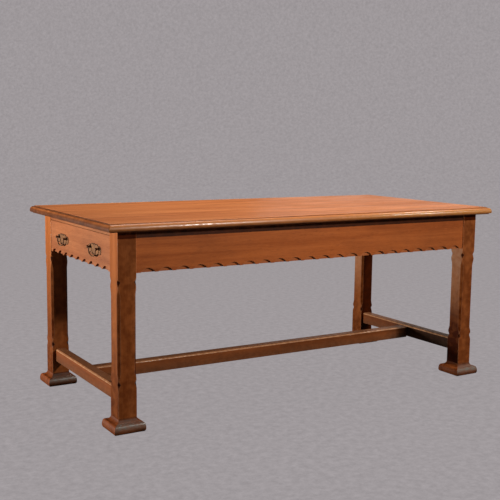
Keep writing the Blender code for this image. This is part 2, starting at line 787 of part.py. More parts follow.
def post_places():
    """Where the four handle posts pass through the drawer front, across and up."""
    height = HANDLE_HEIGHT + POST_RISE
    return [
        (side * HANDLE_SPACING / 2 + hand * POST_SPACING / 2, height)
        for side in (-1, 1)
        for hand in (-1, 1)
    ]


def circle(centre, radius):
    """Points of a round hole."""
    return arc(centre, (radius, radius), 0, 360, TURNED_STEPS)[:-1]


def make_drawer_front():
    reach = BAY_Y - END_SCALLOP_MARGIN
    outline = [
        (-DRAWER_HALF_WIDTH, APRON_BOTTOM),
        (DRAWER_HALF_WIDTH, APRON_BOTTOM),
        (DRAWER_HALF_WIDTH, DRAWER_TOP),
        (-DRAWER_HALF_WIDTH, DRAWER_TOP),
    ]
    middle = DRAWER_FRONT_X + DRAWER_FRONT_THICKNESS / 2
    holes = [circle(place, BOLT_RADIUS + GAP) for place in post_places()]
    mesh = flat_mesh("drawer_front", [outline, *holes], DRAWER_FRONT_THICKNESS)
    front = put("drawer_front", mesh, PARTS, TO_YZ, (middle, 0, 0))
    face = (DRAWER_FRONT_X, 0, 0)
    scalloped(front, END_SCALLOPS, reach, Matrix.Rotation(-math.pi / 2, 4, "Z"), face)
    tip = DRAWER_FRONT_X + DRAWER_LAP
    for side_y, row in ((-1, "front"), (1, "back")):
        name = "lap_sockets_" + row
        cut(front, sockets(name, FRONT_INNER_X + GAP, tip, SIDE_BOTTOM, SIDE_TOP, side_y))
    return finish(front, POLISHED_OAK, 0.3)


def make_drawer_back():
    top = SIDE_TOP - DRAWER_BACK_LOWERING
    low = (BACK_INNER_X, -DRAWER_HALF_WIDTH, BOTTOM_HIGH + GAP)
    back = block("drawer_back", low, (DRAWER_BACK_X, DRAWER_HALF_WIDTH, top))
    for side_y, row in ((-1, "front"), (1, "back")):
        name = "through_sockets_" + row
        cut(back, sockets(name, BACK_INNER_X - GAP, DRAWER_BACK_X + OVERRUN, BOTTOM_HIGH, top, side_y))
    return finish(back, BARE_OAK, 0.6)


def make_drawer_bottom(front, sides):
    """A thin board that slides into grooves of the front and sides from behind."""
    reach = SIDE_INNER_Y + GROOVE_DEPTH
    low = (FRONT_INNER_X - GROOVE_DEPTH, -reach, BOTTOM_LOW)
    high = (DRAWER_BACK_X, reach, BOTTOM_HIGH)
    bottom = block("drawer_bottom", low, high)
    hole_low, hole_high = grown(low, high, GAP)
    hole_high.x += OVERRUN
    groove = block("bottom_groove", hole_low, hole_high, TOOLS)
    for piece in (front, *sides):
        cut(piece, groove)
    return finish(bottom, BARE_OAK, 0.6)


def make_drawer():
    front = make_drawer_front()
    sides = [make_drawer_side("drawer_side_front", -1), make_drawer_side("drawer_side_back", 1)]
    return [front, *sides, make_drawer_back(), make_drawer_bottom(front, sides)]


def make_drawer_guides():
    """Runner, guide, kicker and stop on each side, between the leg and the cross rail."""
    start, end = -BAY_X + GAP, CROSS_RAIL_X - GAP
    runner_top = CROSS_RAIL_BOTTOM + RUNNER_THICKNESS
    outer = APRON_INNER_Y - GAP
    inner = SIDE_INNER_Y - RUNNER_LEDGE
    guide_inner = DRAWER_HALF_WIDTH + GUIDE_PLAY
    kicker_bottom = SIDE_TOP + DRAWER_TOP_PLAY
    for side_y, row in ((-1, "front"), (1, "back")):
        boxes = {
            "drawer_runner": (start, end, inner, outer, CROSS_RAIL_BOTTOM, runner_top),
            "drawer_guide": (start, end, guide_inner, outer, runner_top + GAP, runner_top + GUIDE_HEIGHT),
            "drawer_kicker": (start, end, inner, outer, kicker_bottom, FRAME_TOP),
            "drawer_stop": (
                end - STOP_LENGTH,
                end,
                inner,
                DRAWER_HALF_WIDTH,
                runner_top + GAP,
                runner_top + STOP_HEIGHT,
            ),
        }
        for kind, (x_low, x_high, y_near, y_far, z_low, z_high) in boxes.items():
            across = sorted((side_y * y_near, side_y * y_far))
            low = (x_low, across[0], z_low)
            high = (x_high, across[1], z_high)
            finish(block(f"{kind}_{row}", low, high), BARE_OAK, 0.6)


# Drop handles


def plate_outline():
    """Two end lobes with a wing, a crown and a wing between them above and below, cusp to cusp."""
    end = (PLATE_END_RADIUS, PLATE_END_RADIUS)
    crown = (PLATE_CROWN_RADIUS, PLATE_CROWN_RADIUS)
    upper = [
        *arc((PLATE_END_PLACE, 0), end, 0, 130, LOBE_STEPS),
        *arc(PLATE_WING_PLACE, PLATE_WING_RADII, 18, 140, LOBE_STEPS),
        *arc((0, PLATE_CROWN_PLACE), crown, 10, 90, LOBE_STEPS // 2),
    ]
    left = [(-u, v) for u, v in reversed(upper[:-1])]
    top_half = upper + left
    return top_half + [(u, -v) for u, v in reversed(top_half[1:-1])]


def post_profile():
    """A handle post from the tip of its ball, over its flange, to the end of its bolt."""
    flange_low = PLATE_THICKNESS + 2 * GAP
    flange_high = flange_low + POST_FLANGE_THICKNESS
    bolt_end = -DRAWER_FRONT_THICKNESS - NUT_THICKNESS - BOLT_END
    ball = arc((0, POST_REACH), (POST_BALL, POST_BALL), 90, -50, MOULDING_STEPS)
    return [
        *ball,
        (POST_NECK, ball[-1][1] - GAP),
        (POST_NECK, flange_high + GAP),
        (POST_FLANGE, flange_high),
        (POST_FLANGE, flange_low),
        (BOLT_RADIUS, flange_low),
        (BOLT_RADIUS, bolt_end),
        (0, bolt_end),
    ]


def bail_path():
    """Pins turned out into the posts, a small bend and a U between them, as (across, up, radius)."""
    bend_place = (BAIL_HALF_WIDTH + BAIL_BEND, -BAIL_BEND)
    bend = arc(bend_place, (BAIL_BEND, BAIL_BEND), 90, 180, MOULDING_STEPS // 2)
    start = [(BAIL_HALF_WIDTH + BAIL_PIN, 0.0), *bend]
    points = [(across, up, BAIL_END_RADIUS) for across, up in start]
    for step in range(1, BAIL_STEPS):
        angle = math.pi * step / BAIL_STEPS
        across = math.copysign(abs(math.cos(angle)) ** BAIL_SQUARENESS_SHARE, math.cos(angle))
        down = math.sin(angle) ** BAIL_SQUARENESS_SHARE
        radius = BAIL_END_RADIUS + (BAIL_MIDDLE_RADIUS - BAIL_END_RADIUS) * math.sin(angle)
        points.append((across * BAIL_HALF_WIDTH, -BAIL_BEND - down * (BAIL_DROP - BAIL_BEND), radius))
    return points + [(-across, up, BAIL_END_RADIUS) for across, up in reversed(start)]


def make_bail(name, hinge):
    """A bail that hangs in its posts; its origin is on its hinge line."""
    curve = bpy.data.curves.new(name, "CURVE")
    curve.dimensions = "3D"
    curve.bevel_depth = BAIL_MIDDLE_RADIUS
    curve.bevel_resolution = 2
    curve.use_fill_caps = True
    path = bail_path()
    spline = curve.splines.new("POLY")
    spline.points.add(len(path) - 1)
    for point, (across, up, radius) in zip(spline.points, path):
        point.co = (0, across, up, 1)
        point.radius = radius / BAIL_MIDDLE_RADIUS
    bail = put(name, curve, PARTS, place=hinge)
    return finish(bail, AGED_BRASS, 0.35, 1.0)


def make_handles():
    """Two handles: plate, two posts bolted through the drawer front, their nuts, and the bail."""
    reach = POST_SPACING / 2
    plate_holes = [circle((side * reach, POST_RISE), BOLT_RADIUS + GAP) for side in (-1, 1)]
    plate_mesh = flat_mesh("handle_plate", [plate_outline(), *plate_holes], PLATE_THICKNESS)
    post_mesh = turned_mesh("handle_post", post_profile(), TURNED_STEPS)
    hexagon = arc((0, 0), (NUT_RADIUS, NUT_RADIUS), 0, 360, 6)[:-1]
    nut_mesh = flat_mesh("handle_nut", [hexagon, circle((0, 0), BOLT_RADIUS + GAP)], NUT_THICKNESS)
    pin_hole = bmesh.new()
    radius = BAIL_END_RADIUS + PIN_PLAY
    bmesh.ops.create_cone(
        pin_hole, cap_ends=True, segments=TURNED_STEPS, radius1=radius, radius2=radius, depth=4 * POST_BALL
    )
    pin_mesh = closed_mesh("pin_hole", pin_hole)
    made = []
    for side_y, row in ((-1, "front"), (1, "back")):
        y = side_y * HANDLE_SPACING / 2
        plate_x = DRAWER_FRONT_X - GAP - PLATE_THICKNESS / 2
        plate = put(f"handle_plate_{row}", plate_mesh.copy(), PARTS, TO_YZ, (plate_x, y, HANDLE_HEIGHT))
        made.append(finish(plate, AGED_BRASS, 0.4, 1.0))
        for hand, which in ((-1, "a"), (1, "b")):
            place = (DRAWER_FRONT_X, y + hand * reach, HANDLE_HEIGHT + POST_RISE)
            post = put(f"handle_post_{row}_{which}", post_mesh.copy(), PARTS, TO_FRONT, place)
            middle = (place[0] - POST_REACH, place[1], place[2])
            cut(post, put(f"pin_hole_{row}_{which}", pin_mesh, TOOLS, TO_XZ, middle))
            made.append(finish(smooth(post), AGED_BRASS, 0.35, 1.0))
            nut_x = FRONT_INNER_X + GAP + NUT_THICKNESS / 2
            nut = put(f"handle_nut_{row}_{which}", nut_mesh.copy(), PARTS, TO_YZ, (nut_x, *place[1:]))
            made.append(finish(nut, STEEL, 0.5, 1.0))
        hinge = (DRAWER_FRONT_X - POST_REACH, y, HANDLE_HEIGHT + POST_RISE)
        made.append(make_bail(f"bail_{row}", hinge))
    return made


# Buttons that hold the top down


def button_mesh():
    """A block with a tongue along its lower edge; inwards is +Y, and the top's underside is Z 0."""
    low, step = -BUTTON_THICKNESS, -BUTTON_THICKNESS + BUTTON_TONGUE_THICKNESS
    outline = [
        (-BUTTON_TONGUE, low),
        (BUTTON_LENGTH, low),
        (BUTTON_LENGTH, 0),
        (BUTTON_PLAY, 0),
        (BUTTON_PLAY, step),
        (-BUTTON_TONGUE, step),
    ]
    mesh = flat_mesh("button", [outline], BUTTON_WIDTH)
    mesh.transform(TO_YZ)
    return mesh


def button_mortise_mesh():
    half = BUTTON_WIDTH / 2 + BUTTON_PLAY
    low = (-half, -BUTTON_TONGUE - BUTTON_PLAY, -BUTTON_THICKNESS - GAP)
    high = (half, OVERRUN, -BUTTON_THICKNESS + BUTTON_TONGUE_THICKNESS + GAP)
    mesh = block_mesh("button_mortise", low, high)
    mesh.transform(Matrix.Translation((Vector(low) + Vector(high)) / 2))
    return mesh


def screw_hole_mesh():
    """The hole that a countersunk screw needs, up through its button and into the board."""
    profile = [
        (0, SCREW_LENGTH),
        (SCREW_RADIUS, SCREW_LENGTH - SCREW_POINT),
        (SCREW_RADIUS, SCREW_HEAD_HEIGHT),
        (SCREW_HEAD_RADIUS, 0),
        (SCREW_HEAD_RADIUS, -OVERRUN),
        (0, -OVERRUN),
    ]
    mesh = turned_mesh("screw_hole", profile, SCREW_STEPS)
    mesh.transform(Matrix.Translation((0, BUTTON_SCREW_PLACE, -BUTTON_THICKNESS)))
    return mesh


def button_places():
    """Where each button meets its apron, turned so that inwards is +Y, by apron."""
    half_turn, quarter_turn = Matrix.Rotation(math.pi, 4, "Z"), Matrix.Rotation(math.pi / 2, 4, "Z")
    along = [share * BAY_X for share in BUTTON_PLACE_SHARES]
    across = END_BUTTON_PLACE_SHARE * BAY_Y
    front = [Matrix.Translation((x, -APRON_INNER_Y, FRAME_TOP)) for x in along]
    back = [Matrix.Translation((x, APRON_INNER_Y, FRAME_TOP)) @ half_turn for x in along]
    end = [Matrix.Translation((APRON_INNER_X, y, FRAME_TOP)) @ quarter_turn for y in (-across, across)]
    return {"front": front, "back": back, "right": end}


def make_buttons(aprons, boards):
    """Buttons with their tongues in the aprons, bored for the screws that go up into the boards."""
    button, mortise, hole = button_mesh(), button_mortise_mesh(), screw_hole_mesh()
    places = button_places()
    every = [place for row in places.values() for place in row]
    holes = put("screw_holes", repeated_mesh("screw_holes", hole, every), TOOLS)
    for row, row_places in places.items():
        name = "button_mortises_" + row
        cut(aprons[row], put(name, repeated_mesh(name, mortise, row_places), TOOLS))
        for number, place in enumerate(row_places, start=1):
            piece = put(f"top_button_{row}_{number}", button.copy(), PARTS)
            piece.matrix_world = place
            finish(cut(piece, holes), BARE_OAK, 0.6)
    for board in boards:
        cut(board, holes)


def carry(name, place, pieces):
    """An empty at a joint, with the pieces that move there as its children."""
    joint = bpy.data.objects.new(name, None)
    joint.location = place
    PARTS.objects.link(joint)
    for piece in pieces:
        piece.parent = joint
        piece.matrix_parent_inverse = Matrix.Translation(-Vector(place))


def make_table():
    boards = make_top()
    legs = make_legs()
    aprons = {
        "front": make_long_apron("apron_front", -1, legs),
        "back": make_long_apron("apron_back", 1, legs),
        "right": make_end_apron(legs),
    }
    make_stretchers(legs)
    make_top_rail(legs)
    make_cross_rails([aprons["front"], aprons["back"]])
    make_drawer_guides()
    make_buttons(aprons, boards)
    drawer = [*make_drawer(), *make_handles()]
    carry("drawer_slide", (DRAWER_FRONT_X, 0, (APRON_BOTTOM + DRAWER_TOP) / 2), drawer)


make_table()
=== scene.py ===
import math

import bmesh
import bpy
import numpy as np
from mathutils import Matrix, Vector


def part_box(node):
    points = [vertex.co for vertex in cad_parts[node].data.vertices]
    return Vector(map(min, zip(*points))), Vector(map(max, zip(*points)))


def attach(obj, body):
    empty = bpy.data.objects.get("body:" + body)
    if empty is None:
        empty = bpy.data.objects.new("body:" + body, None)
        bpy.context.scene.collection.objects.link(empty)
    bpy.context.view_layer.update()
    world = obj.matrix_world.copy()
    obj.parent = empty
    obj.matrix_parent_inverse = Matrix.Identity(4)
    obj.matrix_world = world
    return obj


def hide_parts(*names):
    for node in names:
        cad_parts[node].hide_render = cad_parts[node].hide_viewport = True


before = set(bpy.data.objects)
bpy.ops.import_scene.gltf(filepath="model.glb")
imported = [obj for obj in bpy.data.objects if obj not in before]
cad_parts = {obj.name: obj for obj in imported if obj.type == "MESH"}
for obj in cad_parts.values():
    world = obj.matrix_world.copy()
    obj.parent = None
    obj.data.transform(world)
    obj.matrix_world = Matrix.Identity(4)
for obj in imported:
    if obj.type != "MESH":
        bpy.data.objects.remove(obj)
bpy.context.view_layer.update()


# Top: four quartered oak boards glued edge to edge, with one moulding run round all four sides, a
# hollow below, a thick nose, an ovolo and a small fillet. A century of wax: the flat and the long
# sides' moulding are rubbed bright, and the ends' moulding is darker. Painted shade darkens the
# lower nose and the ledge under the fillet on all sides, and turns the hollow under the nose near
# black.

TOP_HEIGHT = 0.762
TOP_HALF_LENGTH = 0.914
TOP_HALF_WIDTH = 0.4375
TOP_THICKNESS = 0.030
BOARD_COUNT = 4
BOARD_JOINT = 0.00015
JOINT_EASE = 0.0004
FLAT_INSET = 0.0146
FILLET_DROP = 0.0030
OVOLO_INSET = 0.0108
NOSE_DROP = 0.0205
LIP_DROP = 0.0257
LIP_INSET = 0.0012
HOLLOW_INSET = 0.0095
INNER_CORNER = 0.0006
ARRIS_EASE = 0.0005
EASE_BULGE = 0.3
FLAT_MARGIN = 0.004
OUTER_CORNER = 0.0030
JOINT_CORNER = 0.0002
HOLLOW_STEPS = 10
OVOLO_STEPS = 16
CORNER_POINTS = 6
WELD_REACH = 0.000002
SAME_PLACE = 0.00001
PLANK_STEP = (3.7, 1.9, 2.3)


def stand(name, data):
    """A mesh, a light or a camera put into the scene under its name."""
    piece = bpy.data.objects.new(name, data)
    bpy.context.scene.collection.objects.link(piece)
    return piece


def skin(name, grid, **marks):
    """A piece from a grid of points. Each row is a closed ring, joined to the next by four-sided
    faces, the first and last rings are filled flat, and points that meet are welded. Marks are
    values over the same grid that the finish reads: how worn or painted light, and how dark with old
    polish or painted shade, each point is."""
    rows, ring = grid.shape[:2]
    here = np.arange(rows * ring).reshape(rows, ring)
    beside = np.roll(here, -1, axis=1)
    quads = np.stack([here[:-1], beside[:-1], beside[1:], here[1:]], axis=-1).reshape(-1, 4)
    mesh = bpy.data.meshes.new(name)
    faces = [*quads.tolist(), here[0][::-1].tolist(), here[-1].tolist()]
    mesh.from_pydata(grid.reshape(-1, 3).tolist(), [], faces)
    for mark, values in marks.items():
        spread = np.broadcast_to(values, (rows, ring)).astype(np.float32)
        mesh.attributes.new(mark, "FLOAT", "POINT").data.foreach_set("value", spread.ravel())
    welded = bmesh.new()
    welded.from_mesh(mesh)
    bmesh.ops.remove_doubles(welded, verts=welded.verts, dist=WELD_REACH)
    welded.to_mesh(mesh)
    welded.free()
    mesh.shade_smooth()
    mesh.set_sharp_from_angle(angle=math.radians(40))
    piece = stand(name, mesh)
    piece.modifiers.new("Flat faces stay flat", "WEIGHTED_NORMAL").keep_sharp = True
    return piece


def ellipse_arc(centre, radii, start, end, steps):
    """Points along an ellipse's arc, centre plus radii times cosine and sine, angles in degrees."""
    angle = np.radians(np.linspace(start, end, steps + 1))
    return np.array(centre) + np.array(radii) * np.stack([np.cos(angle), np.sin(angle)], axis=-1)


def raised(rings, heights):
    """Flat rings, each lifted to its own height."""
    lift = np.broadcast_to(heights[:, None, None], (*rings.shape[:2], 1))
    return np.concatenate([rings, lift], axis=-1)


def slab_rings(low, high, growth, joint_growth, outer, heights, radii, side_points, end_points):
    """Rings of a rectangle pushed up through a moulding: on moulded sides each ring stands out by
    its growth, on the two long sides that are glue joints by joint_growth. A corner is a quarter
    circle, and each straight side is divided evenly between its corners."""
    grow_low = growth if outer[0] else joint_growth
    grow_high = growth if outer[1] else joint_growth
    west, east = low[0] - growth, high[0] + growth
    south, north = low[1] - grow_low, high[1] + grow_high
    quarter = np.radians(np.linspace(0, 90, CORNER_POINTS))
    corners = []
    for number, (x, y, sign_x, sign_y) in enumerate(
        [(west, south, 1, 1), (east, south, -1, 1), (east, north, -1, -1), (west, north, 1, -1)]
    ):
        radius = radii[number]
        angle = quarter + math.pi * (1 + number / 2)
        corner_x = (x + sign_x * radius)[:, None] + radius * np.cos(angle)
        corner_y = (y + sign_y * radius)[:, None] + radius * np.sin(angle)
        corners.append(np.stack([corner_x, corner_y], axis=-1))
    ring = []
    for number, corner in enumerate(corners):
        following = corners[(number + 1) % 4]
        share = np.linspace(0, 1, (side_points, end_points)[number % 2] + 2)[1:-1, None]
        ring += [corner, corner[:, -1:] * (1 - share) + following[:, :1] * share]
    return raised(np.concatenate(ring, axis=1), heights)


def top_section():
    """The moulding from the underside up: the growth and height of each ring, an ellipse's quarter
    for the hollow and one for the ovolo, how much painted shade and how much rubbed wear it has on
    the long sides, and how dark it is at the ends, painted shade included."""
    underside, lip = TOP_HEIGHT - TOP_THICKNESS, TOP_HEIGHT - LIP_DROP
    nose, ledge = TOP_HEIGHT - NOSE_DROP, TOP_HEIGHT - FILLET_DROP
    hollow_radii = (HOLLOW_INSET - LIP_INSET, lip - underside)
    hollow = ellipse_arc((-LIP_INSET, underside), hollow_radii, 180, 90, HOLLOW_STEPS)
    ovolo = ellipse_arc((-OVOLO_INSET, nose), (OVOLO_INSET, ledge - nose), 0, 90, OVOLO_STEPS)
    inset, top, bulge = -FLAT_INSET, TOP_HEIGHT, EASE_BULGE * ARRIS_EASE
    below = [(-HOLLOW_INSET - FLAT_MARGIN, underside)]
    above = [
        (inset + INNER_CORNER, ledge),
        (inset, ledge + ARRIS_EASE),
        (inset, top - ARRIS_EASE),
        (inset - bulge, top - bulge),
        (inset - ARRIS_EASE, top),
        (inset - FLAT_MARGIN, top),
    ]
    section = np.concatenate([below, hollow, ovolo, above])
    climb = np.linspace(0, 1, OVOLO_STEPS + 1)
    # long sides: painted shade on the lower nose and up by the ledge under the fillet
    ovolo_dark = np.interp(climb, [0, 0.15, 0.5, 0.8, 1], [0.7, 0.3, 0.2, 0.3, 0.7])
    ovolo_worn = np.interp(climb, [0, 0.15, 0.5, 0.7, 1], [0.6, 1.0, 0.9, 0.45, 0.1])
    # ends: darker all over, with painted shade on the lower nose, up by the fillet and in the hollow
    ovolo_smoked = np.interp(climb, [0, 0.3, 0.45, 0.65, 0.8, 1], [1, 0.8, 0.3, 0.3, 0.85, 0.9])
    # painted shade in the hollow under the nose, near black
    hollow_dark, hollow_worn = np.full(HOLLOW_STEPS + 2, 1.2), np.zeros(HOLLOW_STEPS + 2)
    hollow_dark[[0, -1]] = 1.5, 0.9
    hollow_worn[-1] = 0.2
    dark = np.concatenate([hollow_dark, ovolo_dark, [0.7, 0.7, 0.5, 0.1, 0.0, 0.0]])
    rubbed = np.concatenate([hollow_worn, ovolo_worn, [0.1, 0.1, 0.3, 0.6, 0.2, 0.0]])
    smoked = np.concatenate([0 * hollow_worn + 1, ovolo_smoked, [0.9, 0.9, 0.8, 0.2, 0.0, 0.0]])
    return section, dark, rubbed, smoked


def shader_group(name, outputs):
    """An empty node group that takes a place on the piece and puts out plain values."""
    group = bpy.data.node_groups.new(name, "ShaderNodeTree")
    group.interface.new_socket("Vector", in_out="INPUT", socket_type="NodeSocketVector")
    for output in outputs:
        group.interface.new_socket(output, in_out="OUTPUT", socket_type="NodeSocketFloat")
    enter, leave = group.nodes.new("NodeGroupInput"), group.nodes.new("NodeGroupOutput")
    return group, enter.outputs["Vector"], leave.inputs


def mark_of(tree, name):
    """What the mesh says of each point under this name."""
    attribute = tree.nodes.new("ShaderNodeAttribute")
    attribute.attribute_name = name
    return attribute.outputs["Fac"]


def noise_over(tree, place, scale, detail, roughness=0.5, distortion=0.0):
    """A noise with about as many blotches to the metre as its scale says."""
    texture = tree.nodes.new("ShaderNodeTexNoise")
    settings = {"Scale": scale, "Detail": detail, "Roughness": roughness, "Distortion": distortion}
    for name, number in settings.items():
        texture.inputs[name].default_value = number
    tree.links.new(place, texture.inputs["Vector"])
    return texture.outputs["Fac"]


def ranged(tree, value, low, high, to_low, to_high, kind="LINEAR"):
    """A value carried over from the span low to high to the span to_low to to_high."""
    ramp = tree.nodes.new("ShaderNodeMapRange")
    ramp.interpolation_type = kind
    for socket, number in zip(ramp.inputs[1:5], (low, high, to_low, to_high)):
        socket.default_value = number
    tree.links.new(value, ramp.inputs["Value"])
    return ramp.outputs["Result"]


def weighted_sum(tree, first, second, weight):
    """The first value plus the second times the weight."""
    total = tree.nodes.new("ShaderNodeMath")
    total.operation = "MULTIPLY_ADD"
    total.inputs[1].default_value = weight
    tree.links.new(second, total.inputs[0])
    tree.links.new(first, total.inputs[2])
    return total.outputs[0]


def oak_figure_group():
    """Figure of oak with its grain along X: broad growth bands, fine fibre, open pores as short
    dark dashes, and the pale ray flecks of a quartered board. Each board starts at its own place
    in it."""
    outputs = ("Tone", "Pores", "Flecks", "Mottle", "Height")
    group, place, leave = shader_group("oak_figure", outputs)
    shift = group.nodes.new("ShaderNodeVectorMath")
    shift.operation = "MULTIPLY_ADD"
    shift.inputs[1].default_value = PLANK_STEP
    group.links.new(mark_of(group, "plank"), shift.inputs[0])
    group.links.new(place, shift.inputs[2])

    def grained(stretch, detail, roughness, distortion=0.0):
        mapping = group.nodes.new("ShaderNodeMapping")
        mapping.inputs["Scale"].default_value = stretch
        group.links.new(shift.outputs[0], mapping.inputs["Vector"])
        return noise_over(group, mapping.outputs[0], 1.0, detail, roughness, distortion)

    bands = grained((1.1, 26.0, 26.0), detail=3.0, roughness=0.55, distortion=0.6)
    streaks = grained((3.0, 130.0, 130.0), detail=3.0, roughness=0.6)
    fibre = grained((9.0, 620.0, 620.0), detail=2.0, roughness=0.6)
    dashes = grained((38.0, 1100.0, 1100.0), detail=1.0, roughness=0.4)
    rays = grained((30.0, 95.0, 180.0), detail=1.0, roughness=0.3, distortion=0.8)
    mottle = grained((3.5, 7.0, 7.0), detail=4.0, roughness=0.6)
    bands = ranged(group, bands, 0.30, 0.70, 0.0, 0.55, "SMOOTHSTEP")
    dashes = ranged(group, dashes, 0.60, 0.70, 0.0, 1.0, "SMOOTHSTEP")
    rays = ranged(group, rays, 0.66, 0.76, 0.0, 1.0, "SMOOTHSTEP")
    tone = weighted_sum(group, weighted_sum(group, bands, streaks, 0.50), fibre, 0.18)
    height = weighted_sum(group, weighted_sum(group, fibre, streaks, 0.5), dashes, -0.9)
    for output, value in zip(outputs, (tone, dashes, rays, mottle, height)):
        group.links.new(value, leave[output])
    return group


def patina_group():
    """Where a polished piece is rubbed pale or painted light, and where it has kept dark polish or
    carries painted shade: the marks of its mesh, their borders broken up by a fine noise so that no
    line is drawn by a ruler."""
    group, place, leave = shader_group("patina", ("Rubbed", "Dark"))
    for name, scale, softness in (("Rubbed", 60.0, 0.5), ("Dark", 40.0, 0.25)):
        noise = noise_over(group, place, scale, detail=4.0)
        share = group.nodes.new("ShaderNodeMath")
        share.operation = "MULTIPLY"
        group.links.new(mark_of(group, name.lower()), share.inputs[0])
        group.links.new(ranged(group, noise, 0.35, 0.65, 1 - softness, 1.0), share.inputs[1])
        group.links.new(share.outputs[0], leave[name])
    return group


OAK_FIGURE = oak_figure_group()
PATINA = patina_group()
ALONG_X = (0.0, 0.0, 0.0)
ALONG_Y = (0.0, 0.0, math.radians(-90))
ALONG_Z = (0.0, math.radians(90), 0.0)
# near black that dark marks over 1 reach, used for painted shadow and painted shade
SOOT = (0.004, 0.0015, 0.0008)
RUBBED_SMOOTHER = -0.16


def new_material(name):
    """A material with its tree of nodes, its shader's sockets and the piece's own coordinates."""
    material = bpy.data.materials.new(name)
    material.use_nodes = True
    tree = material.node_tree
    place = tree.nodes.new("ShaderNodeTexCoord").outputs["Object"]
    return material, tree, tree.nodes["Principled BSDF"].inputs, place


def placed(tree, group, place):
    """What a shared group puts out in this material."""
    node = tree.nodes.new("ShaderNodeGroup")
    node.node_tree = group
    tree.links.new(place, node.inputs["Vector"])
    return node.outputs


def mixed(tree, share, first, second):
    """The first colour where the share is 0, the second where it is 1."""
    node = tree.nodes.new("ShaderNodeMix")
    node.data_type = "RGBA"
    tree.links.new(share, node.inputs[0])
    for colour, socket in ((first, node.inputs[6]), (second, node.inputs[7])):
        if isinstance(colour, tuple):
            socket.default_value = (*colour, 1)
        else:
            tree.links.new(colour, socket)
    return node.outputs[2]


def roughen(tree, height, strength, distance):
    """Sends the relief of a height to the shader, no deeper than the distance."""
    relief = tree.nodes.new("ShaderNodeBump")
    relief.inputs["Strength"].default_value = strength
    relief.inputs["Distance"].default_value = distance
    tree.links.new(height, relief.inputs["Height"])
    tree.links.new(relief.outputs["Normal"], tree.nodes["Principled BSDF"].inputs["Normal"])


def oak(
    name,
    deep,
    pale,
    dark,
    rubbed,
    grain,
    roughness,
    gloss=0.10,
    shine=0.2,
    pore_share=0.35,
    bump=0.25,
):
    """Oak in one finish. The colour runs from deep to pale with the figure. The pores and the marks
    called dark, old polish and painted shade alike, pull it to the dark colour, and those over 1 go
    on to near black for painted shadow. Worn places and those painted light go to their own colour
    and shine."""
    material, tree, finish, place = new_material(name)
    turn = tree.nodes.new("ShaderNodeMapping")
    turn.inputs["Rotation"].default_value = grain
    tree.links.new(place, turn.inputs["Vector"])
    figure, patina = placed(tree, OAK_FIGURE, turn.outputs[0]), placed(tree, PATINA, place)
    wood = mixed(tree, ranged(tree, figure["Tone"], 0.25, 0.95, 0.0, 1.0), deep, pale)
    mottled = mixed(tree, ranged(tree, figure["Mottle"], 0.45, 0.75, 0.0, 0.30), wood, dark)
    flecked = mixed(tree, ranged(tree, figure["Flecks"], 0.0, 1.0, 0.0, 0.45), mottled, pale)
    pored = mixed(tree, ranged(tree, figure["Pores"], 0.0, 1.0, 0.0, pore_share), flecked, dark)
    darkened = mixed(tree, patina["Dark"], pored, dark)
    sooty = mixed(tree, ranged(tree, patina["Dark"], 1.0, 2.0, 0.0, 1.0), darkened, SOOT)
    tree.links.new(mixed(tree, patina["Rubbed"], sooty, rubbed), finish["Base Color"])
    uneven = ranged(tree, figure["Mottle"], 0.3, 0.7, roughness * 0.85, roughness * 1.2)
    smoothed = weighted_sum(tree, uneven, patina["Rubbed"], RUBBED_SMOOTHER)
    tree.links.new(smoothed, finish["Roughness"])
    finish["Specular IOR Level"].default_value = gloss
    tree.links.new(ranged(tree, patina["Rubbed"], 0.2, 1.0, 0.0, shine), finish["Coat Weight"])
    finish["Coat Roughness"].default_value = 0.17
    finish["Coat IOR"].default_value = 1.75
    roughen(tree, figure["Height"], strength=bump, distance=0.0004)
    return material


top_finish = oak(
    "polished_top",
    deep=(0.37, 0.098, 0.023),
    pale=(0.64, 0.218, 0.068),
    dark=(0.085, 0.022, 0.004),
    rubbed=(0.42, 0.175, 0.032),
    grain=ALONG_X,
    roughness=0.36,
    gloss=0.22,
    shine=1.0,
)
section, section_dark, section_rubbed, section_smoked = top_section()
board_width = 2 * TOP_HALF_WIDTH / BOARD_COUNT
# at a glue joint the board is straight, and only its upper and lower arris are eased
joint_ease = -JOINT_EASE * (section[:, 0] <= -FLAT_INSET - ARRIS_EASE * 0.99)
for number in range(BOARD_COUNT):
    outer = (number == 0, number == BOARD_COUNT - 1)
    low_y = -TOP_HALF_WIDTH + number * board_width + (0 if outer[0] else BOARD_JOINT)
    high_y = -TOP_HALF_WIDTH + (number + 1) * board_width - (0 if outer[1] else BOARD_JOINT)
    radius_low, radius_high = (OUTER_CORNER if side else JOINT_CORNER for side in outer)
    grid = slab_rings(
        (-TOP_HALF_LENGTH, low_y),
        (TOP_HALF_LENGTH, high_y),
        section[:, 0],
        joint_ease,
        outer,
        section[:, 1],
        (radius_low, radius_low, radius_high, radius_high),
        side_points=60,
        end_points=10,
    )
    # the marks of the moulding stop at the glue joints, where the ring lies on the joint's plane
    moulded = np.ones(grid.shape[:2])
    if not outer[0]:
        moulded[:, grid[0, :, 1] < low_y + SAME_PLACE] = 0
    if not outer[1]:
        moulded[:, grid[0, :, 1] > high_y - SAME_PLACE] = 0
    at_end = np.abs(grid[..., 0]) - TOP_HALF_LENGTH > np.abs(grid[..., 1]) - TOP_HALF_WIDTH
    # the half away from the drawer is the more handled
    handled = np.interp(grid[..., 0], [0.0, 0.45], [0.4, 1.0])
    board = skin(
        f"top_plank_{number + 1}",
        grid,
        dark=np.where(at_end, section_smoked[:, None], section_dark[:, None]) * moulded,
        rubbed=np.where(at_end, 0.0, section_rubbed[:, None] * handled) * moulded,
        plank=number + 1.0,
    )
    board.data.materials.append(top_finish)
    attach(board, "frame")
    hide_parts(f"top_board_{number + 1}")
